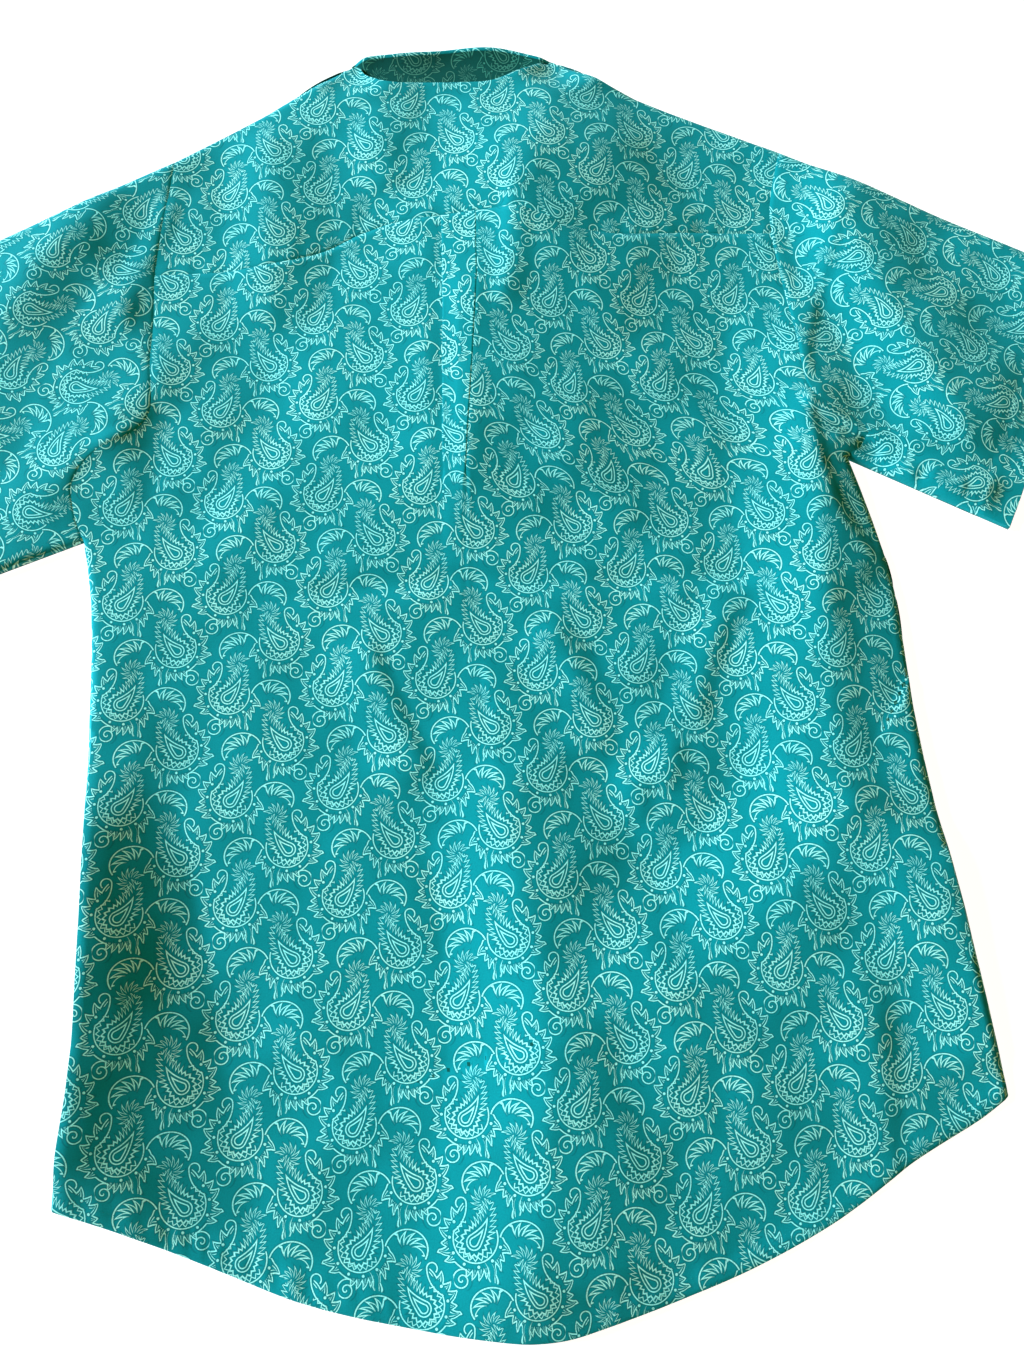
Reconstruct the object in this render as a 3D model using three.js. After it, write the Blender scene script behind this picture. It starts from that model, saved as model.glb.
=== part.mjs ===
// A short-sleeved western shirt lying flat on its front, its back upwards.
// Millimetres. +X is the wearer's right sleeve, +Y the collar, +Z up from the table.
// Every cloth piece is a closed wall CLOTH thick, built on a grid between four edges.
// The fronts lie on the table; the back, the yoke and the sleeves' upper layers lie over them
// at the height that clothTop() gives, so neighbours meet at the same level.

import * as THREE from 'three';

// ---------------------------------------------------------------- driving sizes
const CLOTH = 1.2;            // wall of one layer of cloth
const SEAM_GAP = 0.3;         // left between two pieces that are sewn together
const SLANTED_GAP = 0.36;     // the same along one axis, where the seam slants across it
const LAYER = CLOTH + SEAM_GAP;
const CENTRE_X = -14;         // centre line of the body
const HEM_RISE = 0.6;         // a hem is doubled cloth
const SLEEVE_HEM_SHARE = 0.1; // of the sleeve's length
const FRONT_HEM_LIFT = 12;    // the front tail is this much shorter
const PLACKET_WIDTH = 34;
const SNAP_RADIUS = 5.5;
const SNAP_CLEARANCE = 0.45;  // to the placket around it
const SNAP_COUNT = 7;
const STAND_HEIGHT = 30;      // collar stand
const LEAF_HEIGHT = 46;       // collar leaf behind the neck

// ---------------------------------------------------------------- edges of the pieces
// One row for each station of the two sides, from the hem corner up to the underarm.
const SIDES = [
  { left: [-298, -339], right: [271, -333] },
  { left: [-293, -304], right: [268, -290] },
  { left: [-285, -250], right: [263, -220] },
  { left: [-282, -180], right: [256, -155] },
  { left: [-280, -110], right: [253, -90] },
  { left: [-278, -40], right: [254, -10] },
  { left: [-278, 20], right: [247, 42] },
  { left: [-283, 62], right: [237, 88] },
];

// One row for each station of the armholes, from the underarm up to the yoke seam.
const ARMHOLES = [
  { left: [-283, 62], right: [237, 88] },
  { left: [-289, 84], right: [248, 97] },
  { left: [-289, 106], right: [252, 108] },
  { left: [-274, 124], right: [240, 120] },
  { left: [-252, 135], right: [224, 129] },
  { left: [-238, 152], right: [214, 144] },
  { left: [-238, 188], right: [213, 180] },
  { left: [-236, 222], right: [210, 224] },
  { left: [-235, 256], right: [207, 266] },
];

// The rest of the armholes, beside the yoke, up to the shoulder points.
const YOKE_ENDS = [
  { left: [-235, 256], right: [207, 266] },
  { left: [-230, 287], right: [210, 290] },
  { left: [-224, 318], right: [216, 313] },
  { left: [-219, 348], right: [223, 335] },
];

// Shirt-tail hem of the back, by x from side to side.
const TAIL = [
  [-298, -339], [-263, -354], [-218, -376], [-164, -402], [-109, -420], [-62, -431],
  [-20, -437], [22, -431], [93, -414], [154, -392], [205, -365], [248, -346], [271, -333],
];

// Seam between the yoke and the back, by x from armhole to armhole.
const YOKE_SEAM = [
  [-235, 256], [-174, 256], [-125, 264], [-87, 281], [-55, 288], [14, 290],
  [34, 285], [60, 273], [94, 267], [151, 268], [207, 266],
];

// Shoulder lines and the back neck edge, by x from shoulder point to shoulder point.
const YOKE_TOP = [
  [-219, 348], [-157, 382], [-91, 422], [-77, 416], [-60, 409], [-44, 406], [6, 404],
  [22, 407], [38, 414], [51, 421], [65, 420], [96, 402], [121, 385], [149, 371], [182, 355], [223, 335],
];

// Rolled far rim of the collar, by x from neck corner to neck corner.
const FAR_RIM = [
  [-91, 423], [-78, 431], [-56, 433], [-27, 434], [0, 436], [20, 435], [40, 430], [65, 421],
];

// The sleeves' hem corners: above is on the shoulder side, below on the underarm side.
const SLEEVE_HEMS = {
  left: { above: [-442, 242], below: [-385, 28] },
  right: { above: [442, 217], below: [342, 29] },
};

// ---------------------------------------------------------------- height of the upper layer
const EDGE_TOP = 3.0;      // upper face of the upper layer along the outline
const FIELD_TOP = 4.5;     // and away from it, before the folds
const NECK_RISE = 4.6;     // over the collar that is tucked under the yoke
const EDGE_ROLL = 9;       // width over which the cloth comes down to a folded edge
const OPEN_ROLL = 32;      // width over which the folds sink towards an open hem
const CREST_ROUND = 4;     // radius of a fold's crest

// The main folds. Each follows a line of points and stands rise above the field. It runs down
// to its foot over west and east, which are the widths at the line's start and at its end.
const FOLDS = [
  {
    name: 'tail ridge', rise: 9, west: [45, 80], east: [60, 150],
    line: [
      [-24, -96], [-17, -170], [-8, -230], [-7, -290], [-17, -360], [-34, -430], [-52, -500], [-66, -560],
    ],
  },
  {
    name: 'slanting ridge', rise: 7.5, west: [64, 64], east: [150, 150],
    line: [[22, -268], [65, -258], [105, -240], [140, -210], [170, -182], [200, -150], [214, -128]],
  },
  {
    name: 'right side ridge', rise: 5.5, west: [50, 62], east: [34, 60],
    line: [[216, 196], [212, 130], [210, 69], [206, 20], [200, -33], [195, -82], [197, -150]],
  },
  {
    name: 'pleat ridge', rise: 10.5, west: [82, 155], east: [150, 165],
    line: [[56, 402], [43, 335], [29, 272], [4, 215], [-10, 160], [-16, 100], [-20, 30]],
  },
  {
    name: 'left side ridge', rise: 13, west: [9, 9], east: [44, 139],
    line: [[-280, -66], [-283, -150], [-288, -230], [-295, -300], [-304, -370], [-312, -440]],
  },
  {
    name: 'left corner ridge', rise: 5, west: [9, 9], east: [53, 73],
    line: [[-288, -170], [-294, -250], [-301, -320], [-308, -390]],
  },
  {
    name: 'left shoulder ridge', rise: 3.4, west: [32, 32], east: [44, 40],
    line: [[-150, 378], [-152, 330], [-155, 262], [-150, 200]],
  },
  {
    name: 'neck ridge', rise: 2, west: [24, 24], east: [38, 34],
    line: [[-72, 388], [-70, 345], [-62, 312]],
  },
  {
    name: 'left chest ridge', rise: 1.8, west: [34, 34], east: [44, 44],
    line: [[-205, 20], [-165, 80], [-130, 150], [-112, 205]],
  },
  {
    name: 'right tail ridge', rise: 1.4, west: [26, 26], east: [14, 14],
    line: [[193, -258], [190, -320], [182, -386]],
  },
  {
    name: 'right corner ridge', rise: 3, west: [50, 50], east: [11, 11],
    line: [[250, -150], [256, -220], [262, -290], [266, -322]],
  },
  {
    name: 'right sleeve ridge', rise: 8, west: [44, 46], east: [95, 70],
    line: [[248, 328], [262, 289], [271, 240], [288, 194], [305, 148], [320, 108], [337, 66]],
  },
  {
    name: 'right cuff ridge', rise: 3, west: [16, 16], east: [14, 14],
    line: [[262, 84], [300, 66], [345, 54]],
  },
  {
    name: 'left sleeve ridge', rise: 5, west: [34, 34], east: [40, 40],
    line: [[-248, 328], [-282, 301], [-310, 272], [-330, 238], [-345, 200]],
  },
  {
    name: 'left underarm ridge', rise: 2.6, west: [34, 34], east: [28, 32],
    line: [[-214, 198], [-250, 160], [-284, 126], [-306, 96], [-322, 70]],
  },
];

// ---------------------------------------------------------------- small helpers
const mix = (a, b, t) => a + (b - a) * t;
const mixPoint = (p, q, t) => [mix(p[0], q[0], t), mix(p[1], q[1], t)];
const clamp = (v, low, high) => Math.min(Math.max(v, low), high);

function smooth(edge0, edge1, v) {
  const t = clamp((v - edge0) / (edge1 - edge0), 0, 1);
  return t * t * (3 - 2 * t);
}

// y of a table of [x, y] rows at x, straight from row to row.
function heightAt(table, x) {
  let i = 1;
  while (i < table.length - 1 && x > table[i][0]) i += 1;
  const [a, b] = [table[i - 1], table[i]];
  return mix(a[1], b[1], clamp((x - a[0]) / (b[0] - a[0]), 0, 1));
}

// Point of a line of points at share t of its rows.
function pointAt(line, t) {
  const place = clamp(t, 0, 1) * (line.length - 1);
  const i = Math.min(Math.floor(place), line.length - 2);
  return mixPoint(line[i], line[i + 1], place - i);
}

// Nearest point of a line to (x, y): distance, side (+1 is left of its run) and share of its length.
function nearest(line, x, y) {
  let best = { distance: Infinity, side: 1, share: 0 };
  for (let i = 1; i < line.length; i += 1) {
    const [ax, ay] = line[i - 1];
    const [dx, dy] = [line[i][0] - ax, line[i][1] - ay];
    const t = clamp(((x - ax) * dx + (y - ay) * dy) / (dx * dx + dy * dy), 0, 1);
    const [ox, oy] = [x - ax - dx * t, y - ay - dy * t];
    const distance = Math.hypot(ox, oy);
    if (distance < best.distance) {
      const side = dx * oy - dy * ox >= 0 ? 1 : -1;
      best = { distance, side, share: (i - 1 + t) / (line.length - 1) };
    }
  }
  return best;
}

// A line moved sideways by a distance, to the left of its run when it is positive.
function offsetLine(line, distance) {
  const normals = line.slice(1).map(([x, y], i) => {
    const [dx, dy] = [x - line[i][0], y - line[i][1]];
    const length = Math.hypot(dx, dy);
    return [-dy / length, dx / length];
  });
  return line.map(([x, y], i) => {
    const before = normals[Math.max(i - 1, 0)];
    const after = normals[Math.min(i, normals.length - 1)];
    const reach = distance / (1 + before[0] * after[0] + before[1] * after[1]);
    return [x + (before[0] + after[0]) * reach, y + (before[1] + after[1]) * reach];
  });
}

// ---------------------------------------------------------------- the shirt's outline
const leftSide = SIDES.map((row) => row.left);
const rightSide = SIDES.map((row) => row.right);
const leftArmhole = [...ARMHOLES, ...YOKE_ENDS.slice(1)].map((row) => row.left);
const rightArmhole = [...ARMHOLES, ...YOKE_ENDS.slice(1)].map((row) => row.right);
const leftShoulder = YOKE_TOP.filter(([x]) => x <= -91);
const rightShoulder = YOKE_TOP.filter(([x]) => x >= 65);

const FOLDED_EDGES = [
  leftSide,
  rightSide,
  leftShoulder,
  rightShoulder,
  [leftSide.at(-1), SLEEVE_HEMS.left.below],
  [leftShoulder[0], SLEEVE_HEMS.left.above],
  [rightSide.at(-1), SLEEVE_HEMS.right.below],
  [rightShoulder.at(-1), SLEEVE_HEMS.right.above],
];
const OPEN_EDGES = [
  TAIL,
  [SLEEVE_HEMS.left.above, SLEEVE_HEMS.left.below],
  [SLEEVE_HEMS.right.above, SLEEVE_HEMS.right.below],
];

const distanceTo = (edges, x, y) => Math.min(...edges.map((edge) => nearest(edge, x, y).distance));

// A ridge with long sides: nearly straight down from a rounded crest to its foot, lower at both ends.
// A line runs towards +Y or -Y, so its west and east are read from its own direction.
function foldHeight(fold, x, y) {
  const { distance, side, share } = nearest(fold.line, x, y);
  const downward = fold.line.at(-1)[1] < fold.line[0][1];
  const widths = (side > 0) === downward ? fold.east : fold.west;
  const run = Math.hypot(distance, CREST_ROUND) - CREST_ROUND;
  const t = clamp(1 - run / mix(widths[0], widths[1], share), 0, 1);
  const fall = mix(t, smooth(0, 1, t), 0.45);
  const fade = smooth(0, 0.2, share) * smooth(1, 0.8, share);
  return fold.rise * fall * mix(0.3, 1, fade);
}

const neckPlateau = (x, y) => smooth(160, 66, Math.abs(x - CENTRE_X)) * smooth(262, 346, y);

// Upper face of the upper layer over the point (x, y).
function clothTop(x, y) {
  const folds = FOLDS.reduce((sum, fold) => sum + foldHeight(fold, x, y), 0);
  const inside = smooth(0, EDGE_ROLL, distanceTo(FOLDED_EDGES, x, y));
  const open = mix(0.55, 1, smooth(0, OPEN_ROLL, distanceTo(OPEN_EDGES, x, y)));
  const field = FIELD_TOP - EDGE_TOP + folds * open;
  return EDGE_TOP + inside * (field + NECK_RISE * neckPlateau(x, y));
}

// ---------------------------------------------------------------- closed walls
// A wall from two grids of points, upper and lower, with the same rows and columns.
function wallGeometry(upper, lower) {
  const rows = upper.length;
  const columns = upper[0].length;
  const positions = [...upper.flat(), ...lower.flat()].flat();
  const index = [];
  const id = (layer, r, c) => layer * rows * columns + r * columns + c;
  const quad = (a, b, c, d) => index.push(a, b, c, a, c, d);
  for (let r = 0; r < rows - 1; r += 1) {
    for (let c = 0; c < columns - 1; c += 1) {
      quad(id(0, r, c), id(0, r, c + 1), id(0, r + 1, c + 1), id(0, r + 1, c));
      quad(id(1, r, c), id(1, r + 1, c), id(1, r + 1, c + 1), id(1, r, c + 1));
    }
  }
  for (let c = 0; c < columns - 1; c += 1) {
    quad(id(1, 0, c), id(1, 0, c + 1), id(0, 0, c + 1), id(0, 0, c));
    quad(id(0, rows - 1, c), id(0, rows - 1, c + 1), id(1, rows - 1, c + 1), id(1, rows - 1, c));
  }
  for (let r = 0; r < rows - 1; r += 1) {
    quad(id(0, r, 0), id(0, r + 1, 0), id(1, r + 1, 0), id(1, r, 0));
    quad(id(1, r, columns - 1), id(1, r + 1, columns - 1), id(0, r + 1, columns - 1), id(0, r, columns - 1));
  }
  const geometry = new THREE.BufferGeometry();
  geometry.setAttribute('position', new THREE.Float32BufferAttribute(positions, 3));
  geometry.setIndex(index);
  geometry.computeVertexNormals();
  return geometry;
}

// The same, from a grid of plan points and the height of the wall's under face.
function flatWall(plan, underside, thickness = CLOTH) {
  const lower = plan.map((row) => row.map(([x, y]) => [x, y, underside(x, y)]));
  const upper = lower.map((row) => row.map(([x, y, z]) => [x, y, z + thickness]));
  return wallGeometry(upper, lower);
}

// Shares 0 to 1 over a line's rows, each interval split into parts.
function shares(intervals, parts) {
  const list = [0];
  for (let i = 0; i < intervals; i += 1) {
    const steps = typeof parts === 'function' ? parts(i) : parts;
    for (let k = 1; k <= steps; k += 1) list.push((i + k / steps) / intervals);
  }
  return list;
}

// Plan point between four edges: left and right run upwards, bottom and top run to the right.
function between({ left, right, bottom, top }, u, v) {
  const sides = mixPoint(left(v), right(v), u);
  const ends = mixPoint(bottom(u), top(u), v);
  const corners = mixPoint(mixPoint(left(0), right(0), u), mixPoint(left(1), right(1), u), v);
  return [sides[0] + ends[0] - corners[0], sides[1] + ends[1] - corners[1]];
}

// ---------------------------------------------------------------- materials
const shirting = new THREE.MeshStandardMaterial({ color: 0x0b9aa0, roughness: 0.86, metalness: 0 });
const pearlSnap = new THREE.MeshStandardMaterial({ color: 0xdfe9e4, roughness: 0.3, metalness: 0 });

const shirt = new THREE.Group();
function addPiece(name, geometry, material) {
  const mesh = new THREE.Mesh(geometry, material);
  mesh.name = name;
  shirt.add(mesh);
}

// ---------------------------------------------------------------- back, with its box pleat
// The pleat's two folds, by y from the waist up to the yoke seam.
const PLEAT = [
  { y: -60, left: -47, right: -34, depth: 0, stand: 0 },
  { y: 20, left: -47, right: -36, depth: 0, stand: 0.35 },
  { y: 70, left: -45, right: -31, depth: 0, stand: 0.75 },
  { y: 116, left: -43, right: -26, depth: 0.45, stand: 1 },
  { y: 168, left: -39, right: -19, depth: 0.8, stand: 1 },
  { y: 239, left: -34, right: -10, depth: 1, stand: 1 },
  { y: 300, left: -31, right: -6, depth: 1, stand: 1 },
];
const PLEAT_DEPTH = 9;      // of each fold, where it is pressed
const PLEAT_SOFT_SPREAD = 5; // spacing of the same points where the pleat has run out

function pleatAt(y) {
  let i = 1;
  while (i < PLEAT.length - 1 && y > PLEAT[i].y) i += 1;
  const [a, b] = [PLEAT[i - 1], PLEAT[i]];
  const t = clamp((y - a.y) / (b.y - a.y), 0, 1);
  return {
    left: mix(a.left, b.left, t),
    right: mix(a.right, b.right, t),
    depth: PLEAT_DEPTH * mix(a.depth, b.depth, t),
    stand: 2 * LAYER * mix(a.stand, b.stand, t),
  };
}

// Half a box pleat as rungs across the wall, from the panel beside it to the pleat's top.
// Each rung is [upper offset, upper rise, lower offset, lower rise] from the fold, inwards.
function pleatRungs({ depth, stand }) {
  const pressed = [
    [-0.2, 0, 0, 0],
    [depth - 1.8, 0, depth - 0.5, 0],
    [depth - 1.3, 0.05, depth, 0.1 * stand],
    [depth - 1.3, 0.25, depth, 0.4 * stand],
    [depth - 1.8, 0.3, depth - 0.5, 0.5 * stand],
    [0.6, 0.3, 1.9, 0.5 * stand],
    [0, 0.6, 1.4, 0.5 * stand + 0.08],
    [0, stand - 0.3, 1.4, stand - 0.08],
    [0.6, stand, 1.9, stand],
  ];
  const soft = pressed.map((rung, i) => {
    const share = i / (pressed.length - 1);
    const offset = mix(-1, 1, share) * PLEAT_SOFT_SPREAD;
    const rise = stand * smooth(0, 1, share);
    return [offset, rise, offset, rise];
  });
  const crisp = smooth(0, 3.6, depth);
  return pressed.map((rung, i) => rung.map((value, k) => mix(soft[i][k], value, crisp)));
}

const TAIL_SHARES = [0, 0.0065, 0.0128, 0.0142];   // hem edge, its middle, its stitching, the field
const bodySides = shares(SIDES.length - 1, 2).map((t) => t * 7 / 15).filter((t) => t > 0.03);
const bodyArms = shares(ARMHOLES.length - 1, (i) => (i > 4 ? 2 : 1)).slice(1).map((t) => (7 + t * 8) / 15);
const BODY_SHARES = [...TAIL_SHARES, ...bodySides, ...bodyArms];

function bodyEdge(sides, armhole) {
  const line = [...sides, ...armhole.slice(1, ARMHOLES.length)];
  return (v) => pointAt(line, v);
}

const backEdges = {
  left: bodyEdge(leftSide, leftArmhole),
  right: bodyEdge(rightSide, rightArmhole),
  bottom: (u) => [mix(-298, 271, u), heightAt(TAIL, mix(-298, 271, u))],
  top: (u) => [mix(-235, 207, u), heightAt(YOKE_SEAM, mix(-235, 207, u)) - SLANTED_GAP],
};

const FIELD_COLUMNS = 16;   // on each side of the pleat
const PLEAT_MARGIN = PLEAT_SOFT_SPREAD + 2;

function backBody() {
  const upper = [];
  const lower = [];
  for (const v of BODY_SHARES) {
    const [west, east] = [backEdges.left(v), backEdges.right(v)];
    const plan = (x) => [x, between(backEdges, (x - west[0]) / (east[0] - west[0]), v)[1]];
    const pleat = pleatAt(plan(CENTRE_X - 20)[1]);
    const hem = v <= TAIL_SHARES[2] ? HEM_RISE : 0;
    const [top, under] = [[], []];
    const rung = (xTop, riseTop, xUnder, riseUnder) => {
      const [pTop, pUnder] = [plan(xTop), plan(xUnder)];
      top.push([...pTop, clothTop(...pTop) + riseTop + hem]);
      under.push([...pUnder, clothTop(...pUnder) - CLOTH + riseUnder]);
    };
    const field = (x) => rung(x, 0, x, 0);
    for (let i = 0; i <= FIELD_COLUMNS; i += 1) {
      field(mix(west[0], pleat.left - PLEAT_MARGIN, i / FIELD_COLUMNS));
    }
    const rungs = pleatRungs(pleat);
    rungs.forEach(([a, b, c, d]) => rung(pleat.left + a, b, pleat.left + c, d));
    const middle = (pleat.left + pleat.right) / 2;
    rung(middle, pleat.stand, middle, pleat.stand);
    rungs.toReversed().forEach(([a, b, c, d]) => rung(pleat.right - a, b, pleat.right - c, d));
    for (let i = 0; i <= FIELD_COLUMNS; i += 1) {
      field(mix(pleat.right + PLEAT_MARGIN, east[0], i / FIELD_COLUMNS));
    }
    upper.push(top);
    lower.push(under);
  }
  return wallGeometry(upper, lower);
}

// ---------------------------------------------------------------- yoke
function backYoke() {
  const edges = {
    left: (v) => pointAt(YOKE_ENDS.map((row) => row.left), v),
    right: (v) => pointAt(YOKE_ENDS.map((row) => row.right), v),
    bottom: (u) => [mix(-235, 207, u), heightAt(YOKE_SEAM, mix(-235, 207, u))],
    top: (u) => [mix(-219, 223, u), heightAt(YOKE_TOP, mix(-219, 223, u))],
  };
  const pleat = pleatAt(YOKE_SEAM[5][1]);
  const [west, east] = [YOKE_SEAM[0][0], YOKE_SEAM.at(-1)[0]];
  // The yoke rises over the pleat that is caught in its seam.
  const overPleat = (x, y) => {
    const across = smooth(pleat.left - 12, pleat.left, x) * smooth(pleat.right + 12, pleat.right, x);
    return pleat.stand * across * smooth(345, 292, y);
  };
  const field = shares(FIELD_COLUMNS, 1);
  const columns = [
    ...field.map((t) => mix(west, pleat.left - PLEAT_MARGIN, t)),
    pleat.left,
    (pleat.left + pleat.right) / 2,
    pleat.right,
    ...field.map((t) => mix(pleat.right + PLEAT_MARGIN, east, t)),
  ].map((x) => (x - west) / (east - west));
  const rows = shares(YOKE_ENDS.length - 1, 4);
  const plan = rows.map((v) => columns.map((u) => between(edges, u, v)));
  return flatWall(plan, (x, y) => clothTop(x, y) - CLOTH + overPleat(x, y));
}

// ---------------------------------------------------------------- sleeves
// A flattened tube: its lower layer on the table, its upper layer following the folds.
function sleeve(armhole, hem, outwards) {
  const seam = offsetLine(armhole, outwards * SLANTED_GAP).toReversed();
  seam[seam.length - 1] = [armhole[0][0] - outwards * 1.6 * SLANTED_GAP, armhole[0][1]];
  const intervals = seam.length - 1;
  const across = shares(intervals, (i) => (i < 6 ? 2 : 1));
  const lengths = [0];
  for (let i = 1; i <= intervals; i += 1) {
    lengths.push(lengths[i - 1] + Math.hypot(seam[i][0] - seam[i - 1][0], seam[i][1] - seam[i - 1][1]));
  }
  const arc = (s) => pointAt(lengths.map((value) => [value, 0]), s)[0] / lengths.at(-1);
  const plan = (along, s) => mixPoint(pointAt(seam, s), mixPoint(hem.above, hem.below, arc(s)), along);
  const hemStart = 1 - SLEEVE_HEM_SHARE;
  const stations = [0, 0.05, 0.13, 0.23, 0.33, 0.44, 0.55, 0.66, 0.78, hemStart - 0.006, hemStart, 1];
  const inset = 0.01;
  const rings = stations.map((along) => {
    const doubled = along >= hemStart ? HEM_RISE : 0;
    const above = across.map((s) => {
      const [x, y] = plan(along, s);
      return [x, y, clothTop(x, y) + doubled];
    });
    const inner = across.map((s) => {
      const [x, y] = plan(along, clamp(s, inset, 1 - inset));
      return [x, y, clothTop(...plan(along, s)) - CLOTH];
    });
    const floor = (points, z) => points.map(([x, y]) => [x, y, z]).toReversed();
    return { outer: [...above, ...floor(above, 0)], inner: [...inner, ...floor(inner, CLOTH)] };
  });
  return tubeGeometry(rings, outwards < 0);
}

// A closed tube wall from rings of outer and inner points, open at both ends.
function tubeGeometry(rings, reversed) {
  const around = rings[0].outer.length;
  const positions = rings.flatMap((ring) => [...ring.outer, ...ring.inner]).flat();
  const index = [];
  const id = (ring, layer, k) => ring * 2 * around + layer * around + (k % around);
  const quad = (a, b, c, d) => {
    if (reversed) index.push(a, c, b, a, d, c);
    else index.push(a, b, c, a, c, d);
  };
  for (let k = 0; k < around; k += 1) {
    for (let ring = 0; ring < rings.length - 1; ring += 1) {
      quad(id(ring, 0, k + 1), id(ring, 0, k), id(ring + 1, 0, k), id(ring + 1, 0, k + 1));
      quad(id(ring, 1, k), id(ring, 1, k + 1), id(ring + 1, 1, k + 1), id(ring + 1, 1, k));
    }
    const last = rings.length - 1;
    quad(id(0, 0, k), id(0, 0, k + 1), id(0, 1, k + 1), id(0, 1, k));
    quad(id(last, 0, k + 1), id(last, 0, k), id(last, 1, k), id(last, 1, k + 1));
  }
  const geometry = new THREE.BufferGeometry();
  geometry.setAttribute('position', new THREE.Float32BufferAttribute(positions, 3));
  geometry.setIndex(index);
  geometry.computeVertexNormals();
  return geometry;
}

// ---------------------------------------------------------------- fronts and placket
// The collar's points lie under the fronts, which rise over them.
const WING_ROWS = [
  { y: 352, rise: 10, inner: 47, outer: 54 },
  { y: 376, rise: 0, inner: 45, outer: 54 },
  { y: 401, rise: 0, inner: 42, outer: 54 },
];
const WING_RIM = { inner: 8, outer: 54, drop: 0.5 };   // its last row, just under the rolled rim
const PLACKET_LEFT = CENTRE_X - PLACKET_WIDTH / 2;
const PLACKET_RIGHT = CENTRE_X + PLACKET_WIDTH / 2;

function frontUnderside(x, y) {
  const fromCentre = Math.abs(x - CENTRE_X);
  const across = smooth(18, 30, fromCentre) * smooth(84, 72, fromCentre);
  const overWing = across * smooth(296, 322, y) * smooth(412, 402, y);
  return LAYER * overWing;
}

const NECKLINE_Y = 398;     // hidden just under the back neck edge
const NECKLINE_HALF = 56;   // straight as far as this, then up to the neck corners
const NECK_CORNER = 77;

function frontTopY(x) {
  const rise = smooth(NECKLINE_HALF, NECK_CORNER, Math.abs(x - CENTRE_X));
  return mix(NECKLINE_Y, heightAt(YOKE_TOP, x), rise);
}
const frontHemY = (x) => heightAt(TAIL, x) + FRONT_HEM_LIFT;

function frontLine(side, armhole) {
  const lifted = side.slice(1);
  const start = mixPoint(side[0], side[1], FRONT_HEM_LIFT / Math.abs(side[1][1] - side[0][1]));
  return [start, ...lifted, ...armhole.slice(1)];
}

// Columns of a front, by their distance from its inner edge along the shoulder.
const FRONT_COLUMNS = [190, 165, 140, 115, 90, 76, 66, 56, 46, 38, 30, 22, 14, 7, 0];

function frontPanel(line, innerX, outerIsLeft, underside) {
  const outer = (v) => pointAt(line, v);
  const [low, high] = [outer(0), outer(1)];
  // The inner edge is level with the outer one, row by row, as far up as the yoke seam.
  const level = line.map(([, y]) => y);
  level.splice(-3, 3, 318, 344, frontTopY(innerX));
  level[0] = frontHemY(innerX);
  const inner = (v) => [innerX, pointAt(level.map((y) => [0, y]), v)[1]];
  const bottom = (u) => {
    const x = mix(low[0], innerX, u);
    return [x, u === 0 ? low[1] : frontHemY(x)];
  };
  const top = (u) => {
    const x = mix(high[0], innerX, u);
    return [x, frontTopY(x)];
  };
  const flip = (curve) => (u) => curve(1 - u);
  const edges = outerIsLeft
    ? { left: outer, right: inner, bottom, top }
    : { left: inner, right: outer, bottom: flip(bottom), top: flip(top) };
  const rows = shares(line.length - 1, (i) => (i > 14 ? 2 : 1));
  const columns = FRONT_COLUMNS.map((offset) => 1 - offset / FRONT_COLUMNS[0]);
  const plan = rows.map((v) => columns.map((u) => between(edges, u, v)));
  return flatWall(plan, underside);
}

function leftFront() {
  return frontPanel(frontLine(leftSide, leftArmhole), PLACKET_LEFT - SEAM_GAP, true, frontUnderside);
}

// The right front runs on under the placket, which here means above it.
function rightFront() {
  const overPlacket = (x) => LAYER * smooth(PLACKET_RIGHT + 34, PLACKET_RIGHT + 20, x);
  const underside = (x, y) => Math.max(overPlacket(x), frontUnderside(x, y));
  return frontPanel(frontLine(rightSide, rightArmhole), PLACKET_LEFT + 2, false, underside);
}

function frontPlacket() {
  const outline = new THREE.Shape();
  outline.moveTo(PLACKET_LEFT, frontHemY(PLACKET_LEFT) + 1);
  outline.lineTo(PLACKET_RIGHT, frontHemY(PLACKET_RIGHT) + 1);
  outline.lineTo(PLACKET_RIGHT, frontTopY(PLACKET_RIGHT));
  outline.lineTo(PLACKET_LEFT, frontTopY(PLACKET_LEFT));
  outline.closePath();
  for (const y of snapRows()) {
    const hole = new THREE.Path();
    hole.absarc(CENTRE_X, y, SNAP_RADIUS + SNAP_CLEARANCE, 0, 2 * Math.PI, true);
    outline.holes.push(hole);
  }
  return new THREE.ExtrudeGeometry(outline, { depth: CLOTH, bevelEnabled: false, curveSegments: 7 });
}

// ---------------------------------------------------------------- snaps
function snapRows() {
  const first = frontTopY(CENTRE_X) - 14;
  const last = frontHemY(CENTRE_X) + 130;
  return Array.from({ length: SNAP_COUNT }, (_, i) => mix(first, last, i / (SNAP_COUNT - 1)));
}

// A cap with a rounded rim, flush with the placket that it is pressed into.
function snapGeometry() {
  const rim = 0.35;
  const profile = [
    [0, 0], [SNAP_RADIUS - rim, 0], [SNAP_RADIUS, rim],
    [SNAP_RADIUS, CLOTH - rim], [SNAP_RADIUS - rim, CLOTH], [0, CLOTH],
  ].map(([r, z]) => new THREE.Vector2(r, z));
  return new THREE.LatheGeometry(profile, 14).rotateX(Math.PI / 2);
}

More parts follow.
